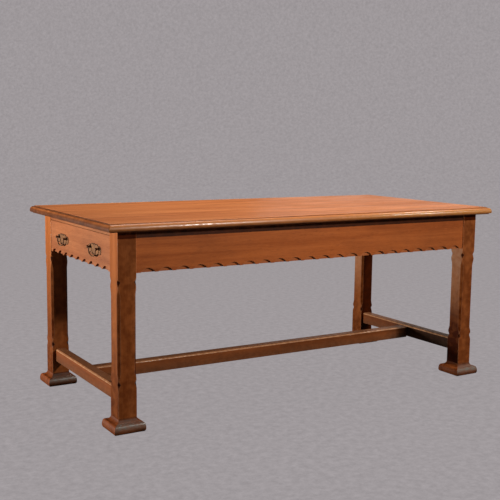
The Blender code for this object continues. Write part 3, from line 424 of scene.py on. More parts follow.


# Legs: 72 mm square oak. Every arris is chamfered by hand between two stops, where it rises in a
# lamb's tongue to a small tooth and drops into a nick. The faces to the long sides kept more of
# their dark polish than those to the ends, which are darker towards the floor. On the far pair the
# faces to the drawer's end carry a pale painted sheen higher up, and the front one painted shade
# lower down. Painted shade also lies in the nicks, on the faces that look into the table, and as
# the shadow of the top's overhang.

LEG = 0.072
LEG_X = 0.827
LEG_Y = 0.355
CHAMFER = 0.0090
STOP_TOOTH = 0.0025
FRAME_TOP = 0.7317
FOOT_HEIGHT = 0.051
STUB_HALF = 0.018
STUB_LENGTH = 0.030
JOINT_GAP = 0.0003
END_EASE = 0.0006
# lower edge of the painted shadow that the top's overhang lays on legs and aprons, and its fade
GRIME_EDGE = 0.7058
GRIME_FADE = 0.0030
UPPER_STOP = (0.5630, 0.5485, 0.5305, 0.4960)
LOWER_STOP = (0.1580, 0.1775, 0.1900, 0.2175)
TONGUE_POINTS = 15
NICK_SHADE = 0.006
WORN_ARRIS = 0.0011
ARRIS_CURVE = 0.0008
ARRIS_MARGIN = 0.004
# points of a ring on the faces to the back, to the drawer's end and to the front, and all those
# on which the top's overhang lays its painted shadow
BACK_FACE = [6, 7, 8, 9]
LEFT_FACE = [14, 15, 16, 17]
FRONT_FACE = [22, 23, 24, 25]
OVERHUNG_FACES = [*range(3, 13), *range(19, 29)]
# how dark each mark makes the wood, for old polish and painted shade alike, from 0 to 1, and above
# 1 near black
CHAMFER_DARK = 0.35
LONG_SIDE_DARK = 0.78
OVERHANG_DARK = 0.75
# painted shade on the far pair's faces into the table, a touch of painted light on the near pair's
INNER_FACE_DARK = {"left": -0.06, "right": 0.6}
# a little painted shade on the far pair's faces to the front
FAR_FACE_DARK = 0.06
MOST_DARK = 1.9
ARRIS_RUBBED = 0.35


def stop_depths(stop):
    """Height and depth of cut through one stop: corner, nick, tooth, then half a cosine wave."""
    corner, nick, tooth, tongue = stop
    share = np.linspace(0, 1, TONGUE_POINTS)
    up_to_nick = [corner, (corner + nick) / 2, nick]
    heights = np.concatenate([up_to_nick, tooth + (tongue - tooth) * share])
    wave = STOP_TOOTH + (CHAMFER - STOP_TOOTH) * (1 - np.cos(math.pi * share)) / 2
    return heights, np.concatenate([[0, CHAMFER / 2, CHAMFER], wave])


def turned(points, angle):
    """Flat points turned about the origin by the angle."""
    cosine, sine = math.cos(angle), math.sin(angle)
    return points @ np.array([[cosine, sine], [-sine, cosine]])


def square_rings(half, depth, ease):
    """Rings of a square whose corners are cut off by depth. Each of the eight arrises is a short
    quadratic curve, (A + 2V + B) / 4 at its middle, with one more point on the flat beside it."""
    cut = np.maximum(depth, ease)
    small = np.minimum(ARRIS_CURVE, 0.4 * cut)
    slope = math.sqrt(0.5)
    first = np.stack([half, half - cut], axis=-1)
    second = first[:, ::-1]
    up, across = np.stack([0 * cut, small], -1), np.stack([-slope * small, slope * small], -1)
    aside = np.array([0.0, ARRIS_MARGIN])
    start, end = first - up, first + across
    other_start, other_end = second - across, second - up[:, ::-1]
    corner = np.stack(
        [
            start - aside,
            start,
            (start + 2 * first + end) / 4,
            end,
            other_start,
            (other_start + 2 * second + other_end) / 4,
            other_end,
            other_end - aside[::-1],
        ],
        axis=1,
    )
    return np.concatenate([turned(corner, quarter * math.pi / 2) for quarter in range(4)], axis=1)


upper_heights, upper_depths = stop_depths(UPPER_STOP)
lower_heights, lower_depths = stop_depths(LOWER_STOP)
middle = np.linspace(LOWER_STOP[3], UPPER_STOP[3], 10)[1:-1]
shoulder = FOOT_HEIGHT + JOINT_GAP
foot_end = [FOOT_HEIGHT - STUB_LENGTH, shoulder, shoulder, shoulder + END_EASE, 0.10]
top_end = [0.60, 0.66, GRIME_EDGE - GRIME_FADE, GRIME_EDGE, FRAME_TOP - END_EASE, FRAME_TOP]
leg_heights = np.concatenate([foot_end, lower_heights, middle, upper_heights[::-1], top_end])
leg_depths = np.concatenate(
    [
        np.zeros(len(foot_end)),
        lower_depths,
        np.full(len(middle), CHAMFER),
        upper_depths[::-1],
        np.zeros(len(top_end)),
    ]
)
leg_halves = np.full(len(leg_heights), LEG / 2)
leg_halves[:2] = STUB_HALF
leg_halves[[2, -1]] -= END_EASE
leg_grid = raised(square_rings(leg_halves, leg_depths, WORN_ARRIS), leg_heights)
on_chamfer = np.tile([0, 0, 0.5, 1, 1, 0.5, 0, 0], 4)
on_arris = np.tile([0, 0, 1, 0, 0, 1, 0, 0], 4)
ring_points = np.arange(len(on_arris))
on_long_side = np.isin(ring_points, BACK_FACE + FRONT_FACE)
under_top = np.isin(ring_points, OVERHUNG_FACES)
leg_cut = (leg_depths / CHAMFER)[:, None]
level = leg_heights[:, None]
# painted shade in the nicks of the chamfer stops
in_nick = sum(np.exp(-(((level - stop[1]) / NICK_SHADE) ** 2)) for stop in (UPPER_STOP, LOWER_STOP))
# the faces to the ends darker towards the floor
grime = np.interp(level, [0.06, 0.22, 0.50, 0.70], [0.92, 0.70, 0.42, 0.0])
# painted shadow of the overhang, strongest at its lower edge and fading towards the top
overhung = np.interp(level, [GRIME_EDGE - GRIME_FADE, GRIME_EDGE, FRAME_TOP], [0.0, 1.0, 0.2])
leg_dark = on_chamfer * leg_cut * CHAMFER_DARK + on_chamfer * in_nick
leg_dark = leg_dark + on_long_side * LONG_SIDE_DARK + ~on_long_side * grime
leg_dark = leg_dark + under_top * OVERHANG_DARK * overhung
# rubbed arrises are left out inside the painted shadow
leg_rubbed = on_arris * (ARRIS_RUBBED + ARRIS_RUBBED * (1 - leg_cut)) * (overhung == 0)
# pale painted sheen high on the far pair's faces to the drawer's end
bleached = np.interp(level, [0.25, 0.50], [0.0, 0.6])
# painted shade low on the front right leg's face to the drawer's end
splashed = np.interp(level, [0.15, 0.42], [0.38, 0.0])
leg_bleached = leg_rubbed + np.isin(ring_points, LEFT_FACE) * bleached
leg_finish = oak(
    "polished_leg",
    deep=(0.43, 0.120, 0.029),
    pale=(0.62, 0.202, 0.059),
    dark=(0.060, 0.009, 0.0005),
    # colour of worn arrises and of the painted sheen
    rubbed=(0.56, 0.32, 0.19),
    grain=ALONG_Z,
    roughness=0.35,
    gloss=0.04,
)
for row, side_y in (("front", -1), ("back", 1)):
    for end, side_x in (("left", -1), ("right", 1)):
        place = np.array([side_x * LEG_X, side_y * LEG_Y, 0.0])
        darkness = leg_dark.copy()
        darkness[:, FRONT_FACE if row == "back" else BACK_FACE] += INNER_FACE_DARK[end]
        if end == "right":
            darkness[:, FRONT_FACE] += FAR_FACE_DARK
            darkness[:, LEFT_FACE] += splashed * (row == "front")
        leg = skin(
            f"chamfered_leg_{row}_{end}",
            leg_grid + place,
            dark=np.clip(darkness, 0, MOST_DARK),
            rubbed=leg_rubbed if end == "left" else leg_bleached,
            plank=5.0 + side_x + 2 * side_y,
        )
        leg.data.materials.append(leg_finish)
        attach(leg, "frame")
        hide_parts(f"leg_{row}_{end}")


# Feet: moulded oak blocks, a rounded base and shoulder below a cove that runs up into the leg,
# which stands in each on a square stub. The faces to the table's long sides carry a grey painted
# reflection across the round, and painted shade darkens the lower edges and the cove, more on the
# long sides than on the ends.

FOOT_BASE = 0.0195
FOOT_NOSE = 0.0258
FOOT_NOSE_HEIGHT = 0.0125
FOOT_SHOULDER = 0.0170
FOOT_SHOULDER_HEIGHT = 0.0340
FOOT_CORNER = 0.0016
SOLE_MARGIN = 0.006
SCUFF_LEVEL = 0.55
SCUFF_SPREAD = 0.22

base_radii = (FOOT_NOSE - FOOT_BASE, FOOT_NOSE_HEIGHT)
round_radii = (FOOT_NOSE - FOOT_SHOULDER, FOOT_SHOULDER_HEIGHT - FOOT_NOSE_HEIGHT)
cove_radii = (FOOT_SHOULDER, FOOT_HEIGHT - FOOT_SHOULDER_HEIGHT)
socket = STUB_HALF + JOINT_GAP - LEG / 2
foot_section = np.concatenate(
    [
        [(FOOT_BASE - SOLE_MARGIN, 0.0)],
        ellipse_arc((FOOT_BASE, FOOT_NOSE_HEIGHT), base_radii, -90, 0, 10),
        ellipse_arc((FOOT_SHOULDER, FOOT_NOSE_HEIGHT), round_radii, 0, 90, 12)[1:],
        ellipse_arc((FOOT_SHOULDER, FOOT_HEIGHT), cove_radii, 270, 180, 10)[1:],
        [(socket, FOOT_HEIGHT), (socket, FOOT_HEIGHT - STUB_LENGTH - JOINT_GAP)],
    ]
)
foot_level = foot_section[:, 1] / FOOT_HEIGHT
# painted shade at the base and in the cove
foot_dark = np.interp(foot_level, [0, 0.25, 0.55, 0.68, 0.85, 1], [1.0, 0.9, 0.5, 0.2, 0.9, 0.8])
# grey painted reflection across the round
foot_rubbed = 1.1 * np.exp(-(((foot_level - SCUFF_LEVEL) / SCUFF_SPREAD) ** 2))
foot_finish = oak(
    "scuffed_foot",
    deep=(0.26, 0.058, 0.012),
    pale=(0.42, 0.110, 0.028),
    dark=(0.030, 0.009, 0.002),
    # grey of the painted reflection
    rubbed=(0.17, 0.145, 0.120),
    grain=ALONG_X,
    roughness=0.42,
)
for row, side_y in (("front", -1), ("back", 1)):
    for end, side_x in (("left", -1), ("right", 1)):
        x, y = side_x * LEG_X, side_y * LEG_Y
        grid = slab_rings(
            (x - LEG / 2, y - LEG / 2),
            (x + LEG / 2, y + LEG / 2),
            foot_section[:, 0],
            foot_section[:, 0],
            (True, True),
            foot_section[:, 1],
            (FOOT_CORNER,) * 4,
            side_points=6,
            end_points=6,
        )
        to_long_side = np.abs(grid[..., 1] - y) > np.abs(grid[..., 0] - x)
        foot = skin(
            f"moulded_foot_{row}_{end}",
            grid,
            dark=np.where(to_long_side, 1.0, 0.6) * foot_dark[:, None],
            rubbed=np.where(to_long_side, 1.0, 0.0) * foot_rubbed[:, None],
            plank=11.0 + side_x + 2 * side_y,
        )
        foot.data.materials.append(foot_finish)
        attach(foot, "frame")
        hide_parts(f"foot_{row}_{end}")


# Aprons: inch boards tenoned between the legs, two long and one at the plain end, set back a
# little from the leg faces. A row of shallow arches is sunk along the lower edge of each, a third
# through, so that the edge stays straight. The overhang's shadow is painted along their top, the
# long ones get painted shade towards their right end, and the arches' walls and floors are painted
# lighter inside worn rims.

APRON_BOTTOM = 0.5785
APRON_THICKNESS = 0.025
APRON_Y = 0.3745
APRON_X = 0.8465
BAY_X = 0.791
BAY_Y = 0.319
ARCH_HALF_WIDTH = 0.0288
ARCH_HEIGHT = 0.0152
ARCH_DEPTH = 0.0090
SIDE_ARCHES = 22
SIDE_MARGIN = 0.047
END_ARCHES = 9
END_MARGIN = 0.0455
RIM_EASE = 0.0006
RIM_MARGIN = 0.002
FACE_MARGIN = 0.006
ARCH_POINTS = 19


def arched_board(half, reach, count, bottom, top, thickness):
    """A board along X with arches sunk in its face, which looks along -Y. Each line along it keeps
    one distance from the rims: arcs of the arches' radius plus the distance, joined at that
    distance above the flats. A ring goes down the face, back to the arch's floor, down that and
    up behind."""
    radius = (ARCH_HALF_WIDTH**2 + ARCH_HEIGHT**2) / (2 * ARCH_HEIGHT)
    bulge = EASE_BULGE * RIM_EASE
    distance = np.array([*[FACE_MARGIN] * 4, RIM_MARGIN, RIM_EASE, bulge, 0, 0, 0])
    sunk = np.array([*[0] * 6, bulge, RIM_EASE, ARCH_DEPTH * 0.5, ARCH_DEPTH])
    arc_radius = radius + distance
    below = radius - ARCH_HEIGHT + distance
    meet = np.arcsin(below / arc_radius)
    share = np.linspace(0, 1, ARCH_POINTS)
    angle = math.pi - meet[:, None] - share * (math.pi - 2 * meet)[:, None]
    middles = np.linspace(-reach, reach, count)
    along = middles[None, :, None] + (arc_radius[:, None] * np.cos(angle))[:, None, :]
    height = (arc_radius[:, None] * np.sin(angle) - radius + ARCH_HEIGHT)[:, None, :]
    height = np.broadcast_to(height, along.shape)
    along, height = (line.reshape(len(distance), -1) for line in (along, height))
    ends = np.full((len(distance), 1), half)
    along = np.concatenate([-ends, along, ends], axis=1)
    height = bottom + np.concatenate([distance[:, None], height, distance[:, None]], axis=1)
    # the top rows of the face bound the painted shadow under the overhang
    height[:3] = np.array([[top], [GRIME_EDGE], [GRIME_EDGE - GRIME_FADE]])
    rim_x, rim_z = along[-1], height[-1]
    on_floor = [bottom + (rim_z - bottom) * share for share in (0.75, 0.5, 0.25, 0.0)]
    floor = [np.stack([rim_x, 0 * rim_x + ARCH_DEPTH, level], -1) for level in on_floor]
    behind = (bottom, bottom + FACE_MARGIN, top)
    back = [np.stack([rim_x, 0 * rim_x + thickness, 0 * rim_x + level], -1) for level in behind]
    face = np.stack([along, np.broadcast_to(sunk[:, None], along.shape), height], axis=-1)
    return np.concatenate([face, floor, back]).transpose(1, 0, 2)


# marks of a ring: five points of the face, three of the rim, six of the arch, three behind. The
# rims are worn, the arch's walls and floor are painted lighter, and the two top rows of the face
# carry the painted shadow of the overhang.
arch_rubbed = np.array([*[0] * 5, 0.2, 0.5, 0.4, *[0.2] * 6, *[0] * 3])
arch_dark = np.array([0.7, 1.5, *[0] * 15])
apron_colours = dict(
    deep=(0.28, 0.062, 0.012),
    pale=(0.45, 0.120, 0.028),
    dark=(0.055, 0.012, 0.002),
    # colour of worn rims and of the painted light in the arches
    rubbed=(0.50, 0.22, 0.10),
    roughness=0.42,
)
apron_finish = oak("polished_apron", grain=ALONG_X, **apron_colours)
long_board = arched_board(
    BAY_X - JOINT_GAP, BAY_X - SIDE_MARGIN, SIDE_ARCHES, APRON_BOTTOM, FRAME_TOP, APRON_THICKNESS
)
for row, side_y in (("front", -1), ("back", 1)):
    grid = long_board - np.array([0.0, APRON_THICKNESS / 2 + APRON_Y, 0.0])
    if side_y > 0:
        grid = grid * np.array([-1, -1, 1])
    # painted shade towards the right end, over the overhang's painted shadow
    smoked = arch_dark + np.interp(grid[..., 0], [0.1, 0.8], [0.0, 0.2])
    apron = skin(f"arched_apron_{row}", grid, rubbed=arch_rubbed, dark=smoked, plank=14.0 + side_y)
    apron.data.materials.append(apron_finish)
    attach(apron, "frame")
    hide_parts(f"apron_{row}")

end_apron_finish = oak("polished_end_apron", grain=ALONG_Y, **apron_colours)
end_board = arched_board(
    BAY_Y - JOINT_GAP, BAY_Y - END_MARGIN, END_ARCHES, APRON_BOTTOM, FRAME_TOP, APRON_THICKNESS
)
end_face = APRON_X + APRON_THICKNESS / 2
grid = np.stack([end_face - end_board[..., 1], end_board[..., 0], end_board[..., 2]], axis=-1)
end_apron = skin("arched_apron_right", grid, rubbed=arch_rubbed, dark=arch_dark, plank=16.0)
end_apron.data.materials.append(end_apron_finish)
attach(end_apron, "frame")
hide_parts("apron_right")


# Stretchers: an H low between the legs, of plain oak bars with both upper arrises planed off. Feet
# have rested on them, so that those chamfers are rubbed pale and shiny, with a painted highlight
# along their lower arris, and the tops are painted lighter. A painted shadow darkens the front
# half of the right one, up to where it takes the centre one, and the right end of the centre one.

STRETCHER_TOP = 0.1572
STRETCHER_HEIGHT = 0.053
STRETCHER_WIDTH = 0.045
STRETCHER_CHAMFER = 0.005
WEAR_WIDTH = 0.003
CENTRE_DROP = 0.0053
BAR_STATIONS = 12


def eased_outline(corners, ease):
    """A polygon with each corner turned into a short quadratic curve, (A + 2V + B) / 4 midway."""
    corners = np.asarray(corners, float)
    before, after = (np.roll(corners, step, axis=0) - corners for step in (1, -1))
    start = corners + ease * before / np.linalg.norm(before, axis=1, keepdims=True)
    end = corners + ease * after / np.linalg.norm(after, axis=1, keepdims=True)
    return np.stack([start, (start + 2 * corners + end) / 4, end], axis=1).reshape(-1, 2)


half_width = STRETCHER_WIDTH / 2
bar_outline = eased_outline(
    [
        (-half_width, -STRETCHER_HEIGHT),
        (half_width, -STRETCHER_HEIGHT),
        (half_width, -STRETCHER_CHAMFER - WEAR_WIDTH),
        (half_width, -STRETCHER_CHAMFER),
        (half_width - STRETCHER_CHAMFER, 0),
        (half_width - STRETCHER_CHAMFER - WEAR_WIDTH, 0),
        (-half_width + STRETCHER_CHAMFER + WEAR_WIDTH, 0),
        (-half_width + STRETCHER_CHAMFER, 0),
        (-half_width, -STRETCHER_CHAMFER),
        (-half_width, -STRETCHER_CHAMFER - WEAR_WIDTH),
    ],
    ease=ARRIS_CURVE,
)
# wear on the chamfers with a painted highlight at their lower arris, and tops painted lighter
bar_rubbed = np.repeat([0.1, 0.1, 0.0, 1.0, 0.3, 0.3, 0.3, 0.3, 1.0, 0.0], 3)
bar_dark = np.repeat([0.6, 0.6, 0.15, 0.1, 0.0, 0.0, 0.0, 0.0, 0.1, 0.15], 3)
stations = np.linspace(-1, 1, BAR_STATIONS)[:, None]
# painted shadow over the front half of the right bar and the right end of the centre one
blackened = {
    "left": 0 * stations,
    "right": np.interp(stations, [-1, 0, 0.3, 1], [1.25, 1.1, 0.25, 0.1]),
    "centre": np.interp(stations, [0.9, 1], [0.15, 0.7]),
}
stretcher_colours = dict(
    deep=(0.19, 0.046, 0.009),
    pale=(0.33, 0.090, 0.022),
    dark=(0.045, 0.014, 0.005),
    # colour of worn chamfers, of the painted highlight and of the lighter tops
    rubbed=(0.66, 0.35, 0.18),
    roughness=0.40,
)
bar_finishes = {
    "end": oak("polished_end_stretcher", grain=ALONG_Y, **stretcher_colours),
    "centre": oak("polished_centre_stretcher", grain=ALONG_X, **stretcher_colours),
}
bar_half_lengths = {"end": BAY_Y - JOINT_GAP, "centre": LEG_X - half_width - JOINT_GAP}
for name, kind, x, top in (
    ("left", "end", -LEG_X, STRETCHER_TOP),
    ("right", "end", LEG_X, STRETCHER_TOP),
    ("centre", "centre", 0.0, STRETCHER_TOP - CENTRE_DROP),
):
    along = stations * bar_half_lengths[kind] * np.ones(len(bar_outline))
    across = np.broadcast_to(bar_outline[:, 0], along.shape)
    height = np.broadcast_to(bar_outline[:, 1] + top, along.shape)
    if kind == "end":
        grid = np.stack([x - across, along, height], axis=-1)
    else:
        grid = np.stack([along, across, height], axis=-1)
    bar = skin(
        f"chamfered_stretcher_{name}",
        grid,
        rubbed=bar_rubbed,
        dark=bar_dark + blackened[name],
        plank=20.0 + x,
    )
    bar.data.materials.append(bar_finishes[kind])
    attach(bar, "frame")
    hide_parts(f"stretcher_{name}")


# Top rail: the strip over the drawer, dovetailed down into the two leg tops. Its polished front
# edge is all that shows when the drawer is shut.


def eased_copy(node, name, ease):
    """A joiner's piece with its joints as they are cut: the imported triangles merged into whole
    faces, and every arris taken off by a fine bevel, as with one stroke of sandpaper."""
    cut = bmesh.new()
    cut.from_mesh(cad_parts[node].data)
    bmesh.ops.remove_doubles(cut, verts=cut.verts, dist=SAME_PLACE)
    bmesh.ops.dissolve_limit(cut, angle_limit=0.01, verts=cut.verts, edges=cut.edges)
    mesh = bpy.data.meshes.new(name)
    cut.to_mesh(mesh)
    cut.free()
    mesh.shade_smooth()
    mesh.set_sharp_from_angle(angle=math.radians(50))
    piece = stand(name, mesh)
    bevel = piece.modifiers.new("Eased arrises", "BEVEL")
    bevel.width = ease
    bevel.segments = 2
    bevel.limit_method = "ANGLE"
    bevel.angle_limit = math.radians(40)
    piece.modifiers.new("Flat faces stay flat", "WEIGHTED_NORMAL").keep_sharp = True
    return piece


rail_finish = oak(
    "polished_rail",
    deep=(0.33, 0.105, 0.034),
    pale=(0.50, 0.190, 0.074),
    dark=(0.070, 0.020, 0.005),
    rubbed=(0.55, 0.25, 0.11),
    grain=ALONG_Y,
    roughness=0.42,
)
top_rail = eased_copy("top_rail", "dovetailed_top_rail", ease=0.0004)
top_rail.data.materials.append(rail_finish)
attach(top_rail, "frame")
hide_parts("top_rail")


# Bare oak inside the frame: the cross rail behind the drawer, the bearer under the top, and the
# runners, guides, kickers and stops of the drawer. Sawn and planed, never polished, grey with dust.

bare_colours = dict(
    deep=(0.20, 0.115, 0.058),
    pale=(0.36, 0.235, 0.130),
    dark=(0.085, 0.048, 0.026),
    rubbed=(0.42, 0.28, 0.16),
    roughness=0.68,
    pore_share=0.5,
    bump=0.5,
)
bare_across = oak("bare_oak_across", grain=ALONG_Y, **bare_colours)
bare_along = oak("bare_oak_along", grain=ALONG_X, **bare_colours)
for node in ("cross_rail", "top_bearer"):
    rail = eased_copy(node, f"bare_{node}", ease=0.0006)
    rail.data.materials.append(bare_across)
    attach(rail, "frame")
    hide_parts(node)
for kind in ("runner", "guide", "kicker", "stop"):
    for row in ("front", "back"):
        strip = eased_copy(f"drawer_{kind}_{row}", f"bare_{kind}_{row}", ease=0.0006)
        strip.data.materials.append(bare_along)
        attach(strip, "frame")
        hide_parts(f"drawer_{kind}_{row}")


# Buttons: small oak blocks that hold the top down. A tongue of each sits in a slot of the apron,
# so the wide top can swell and shrink, and one countersunk steel screw goes up into the board.

SCREW_HEAD_RADIUS = 0.0045
SCREW_RADIUS = 0.0023
SCREW_HEAD_HEIGHT = 0.0030
SCREW_LENGTH = 0.034
SCREW_POINT = 0.006
SCREW_SLOT_HALF = 0.0005
SCREW_SLOT_DEPTH = 0.0012
BUTTON_SCREW_PLACE = 0.020
THREAD_PITCH = 0.0022
THREAD_DEPTH = 0.0004
THREAD_START = 0.4
TIP_SHARE = 0.04
HEAD_RIM_DROP = 0.0002
HEAD_GAP = 0.0001

steel, tree, finish, place = new_material("dull_screw_steel")
finish["Metallic"].default_value = 1.0
rust = noise_over(tree, place, 420.0, detail=5.0)
clean = ranged(tree, rust, 0.35, 0.65, 0.0, 1.0)
tree.links.new(mixed(tree, clean, (0.12, 0.075, 0.045), (0.36, 0.34, 0.32)), finish["Base Color"])
tree.links.new(ranged(tree, clean, 0.0, 1.0, 0.62, 0.36), finish["Roughness"])


def full_turn(sides):
    """The angles of a whole turn in equal steps, one for each side."""
    return np.linspace(0, 2 * math.pi, sides + 1)[:-1]


around = full_turn(32)
head_radii = np.linspace(TIP_SHARE, 1.0, 14) * SCREW_HEAD_RADIUS
head_x = head_radii[:, None] * np.cos(around)
head_z = np.where(np.abs(head_x) < SCREW_SLOT_HALF, SCREW_SLOT_DEPTH, 0.0)
head_z[-1] = HEAD_RIM_DROP
below_head = np.linspace(SCREW_HEAD_HEIGHT + 0.001, SCREW_LENGTH, 90)
shank_z = np.concatenate([[SCREW_HEAD_HEIGHT], below_head])
taper = np.clip((SCREW_LENGTH - shank_z) / SCREW_POINT, TIP_SHARE, 1)
wave = np.cos(2 * math.pi * shank_z[:, None] / THREAD_PITCH - around)
threaded = (shank_z > SCREW_LENGTH * THREAD_START)[:, None]
shank_radii = (SCREW_RADIUS - THREAD_DEPTH * threaded * (1 - wave) / 2) * taper[:, None]
radii = np.concatenate([np.broadcast_to(head_radii[:, None], head_x.shape), shank_radii])
rise = np.concatenate([head_z, np.broadcast_to(shank_z[:, None], shank_radii.shape)])
screw_grid = np.stack([radii * np.cos(around), -radii * np.sin(around), rise], axis=-1)
side_line = APRON_Y - APRON_THICKNESS / 2 - BUTTON_SCREW_PLACE
end_line = APRON_X - APRON_THICKNESS / 2 - BUTTON_SCREW_PLACE
for row, count, axis, line in (
    ("front", 4, 1, -side_line),
    ("back", 4, 1, side_line),
    ("right", 2, 0, end_line),
):
    for number in range(1, count + 1):
        node = f"top_button_{row}_{number}"
        button = eased_copy(node, f"bare_button_{row}_{number}", ease=0.0006)
        button.data.materials.append(bare_along)
        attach(button, "frame")
        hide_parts(node)
        low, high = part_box(node)
        spot = (low + high) / 2
        spot[axis] = line
        spot.z = low.z + HEAD_GAP
        grid = screw_grid.copy()
        # no two slots stand alike
        slot_turn = math.radians(37.0 * number + 20.0 * len(row))
        grid[..., :2] = turned(grid[..., :2], slot_turn)
        screw = skin(f"button_screw_{row}_{number}", grid + np.array(spot))
        screw.data.materials.append(steel)
        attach(screw, "frame")


# Drawer front: one oak board that fills the end between the legs, with the same arches sunk along
# its lower edge and lapped dovetails hidden behind.

DRAWER_FRONT_X = -0.8615
PACKED_ARCH_DEPTH = 0.0140
FLOOR_REACH = 0.0005
EDGE_REACH = 0.0002

front_finish = oak(
    "polished_drawer_front",
    deep=(0.35, 0.104, 0.034),
    pale=(0.52, 0.184, 0.068),
    dark=(0.070, 0.020, 0.005),
    rubbed=(0.55, 0.28, 0.14),
    grain=ALONG_Y,
    roughness=0.42,
)
drawer_front = eased_copy("drawer_front", "arched_drawer_front", ease=0.0005)
points = np.empty(len(drawer_front.data.vertices) * 3, dtype=np.float32)
drawer_front.data.vertices.foreach_get("co", points)
points = points.reshape(-1, 3)
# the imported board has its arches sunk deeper, so their floors are brought out to the aprons' depth
sunk = np.abs(points[:, 0] - DRAWER_FRONT_X - PACKED_ARCH_DEPTH) < FLOOR_REACH
on_floor = sunk & (points[:, 2] < APRON_BOTTOM + ARCH_HEIGHT + 2 * FLOOR_REACH)
off_edge = points[:, 2] >= APRON_BOTTOM + EDGE_REACH
points[on_floor, 0] = DRAWER_FRONT_X + ARCH_DEPTH
drawer_front.data.vertices.foreach_set("co", points.ravel())
# painted shade on the floors of the arches, clear of the lower edge
dark = np.where(on_floor & off_edge, 0.15, 0.0).astype(np.float32)
drawer_front.data.attributes.new("dark", "FLOAT", "POINT").data.foreach_set("value", dark)
drawer_front.data.materials.append(front_finish)
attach(drawer_front, "drawer")
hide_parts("drawer_front")


# Drawer box: thin oak sides dovetailed to front and back, and a bottom board slid into grooves
# from behind. Never polished, so it is greyer and paler than the front.

for node, finish in (
    ("drawer_side_front", bare_along),
    ("drawer_side_back", bare_along),
    ("drawer_back", bare_across),
    ("drawer_bottom", bare_across),
):
    wall = eased_copy(node, f"bare_{node}", ease=0.0004)
    wall.data.materials.append(finish)
    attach(wall, "drawer")
    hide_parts(node)


# Handle plates: thin brass castings with winged outlines and a raised bead round the rim, gone
# brown with age and polish, bright only where fingers rub.

HANDLE_Y = 0.172
HANDLE_Z = 0.643
PLATE_END_PLACE = 0.0470
PLATE_END_RADIUS = 0.0165
PLATE_WING_PLACE = (0.0210, 0.0095)
PLATE_WING_RADII = (0.0165, 0.0125)
PLATE_CROWN_PLACE = 0.0160
PLATE_CROWN_RADIUS = 0.0072


def brass_finish(name, deep, bright, roughness):
    """Old cast brass: bright metal under a brown skin that a noise and rubbing break up."""
    material, tree, finish, place = new_material(name)
    blotches = noise_over(tree, place, 160.0, detail=5.0)
    total = tree.nodes.new("ShaderNodeMath")
    total.use_clamp = True
    tree.links.new(ranged(tree, blotches, 0.35, 0.70, 0.0, 0.45), total.inputs[0])
    tree.links.new(placed(tree, PATINA, place)["Rubbed"], total.inputs[1])
    bare = total.outputs[0]
    tree.links.new(mixed(tree, bare, deep, bright), finish["Base Color"])
    tree.links.new(ranged(tree, bare, 0.0, 1.0, 0.25, 0.9), finish["Metallic"])
    dull = roughness + 0.15
    tree.links.new(ranged(tree, bare, 0.0, 1.0, dull, roughness), finish["Roughness"])
    roughen(tree, blotches, strength=0.25, distance=0.0003)
    return material


plate_brass = brass_finish("aged_plate_brass", (0.060, 0.017, 0.003), (0.18, 0.083, 0.034), 0.60)
handle_brass = brass_finish("aged_handle_brass", (0.150, 0.054, 0.017), (0.23, 0.112, 0.048), 0.50)
quarter = np.concatenate(
    [
        ellipse_arc((PLATE_END_PLACE, 0), (PLATE_END_RADIUS,) * 2, 0, 130, 18),
        ellipse_arc(PLATE_WING_PLACE, PLATE_WING_RADII, 18, 140, 18),
        ellipse_arc((0, PLATE_CROWN_PLACE), (PLATE_CROWN_RADIUS,) * 2, 10, 90, 8),
    ]
)
upper = np.concatenate([quarter, (quarter * (-1, 1))[-2::-1]])
outline = np.concatenate([upper, (upper * (1, -1))[-2:0:-1]])
tangent = np.roll(outline, -1, axis=0) - np.roll(outline, 1, axis=0)
tangent /= np.linalg.norm(tangent, axis=1, keepdims=True)
normal = np.stack([-tangent[:, 1], tangent[:, 0]], axis=-1)
bead_inset = np.array([0, 0, 0.3, 0.8, 1.3, 1.8, 2.2, 2.6, 3.0])[:, None, None] / 1000
bead_rise = np.array([0, 1.0, 1.6, 1.9, 2.0, 1.8, 1.3, 1.1, 1.1])[:, None, None] / 1000
plate_shape = outline + bead_inset * normal
plate_face = np.broadcast_to(-bead_rise, (*plate_shape.shape[:2], 1))
plate_grid = np.concatenate([plate_face, -plate_shape[..., :1], plate_shape[..., 1:]], axis=-1)
rim_bright = np.array([0, 0, 0, 0, 0, 0.2, 0.5, 0.9, 1.0])
for row, side_y in (("front", -1), ("back", 1)):
    grid = plate_grid + np.array([DRAWER_FRONT_X - JOINT_GAP, side_y * HANDLE_Y, HANDLE_Z])
    plate = skin(f"winged_plate_{row}", grid, rubbed=rim_bright[:, None])
    plate.data.materials.append(plate_brass)
    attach(plate, "drawer")
    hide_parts(f"handle_plate_{row}")


# Handle posts: turned brass, a ball on a neck and a flange, with a bolt cast on behind that a
# steel nut draws up inside the drawer.

POST_HALF_SPACING = 0.043
POST_RISE = 0.0060
POST_REACH = 0.0120
POST_BALL = 0.0055
POST_NECK = 0.0034
POST_FLANGE = 0.0065
BOLT_RADIUS = 0.0022
BOLT_END = 0.0276
FLANGE_SPAN = (0.0026, 0.0044)

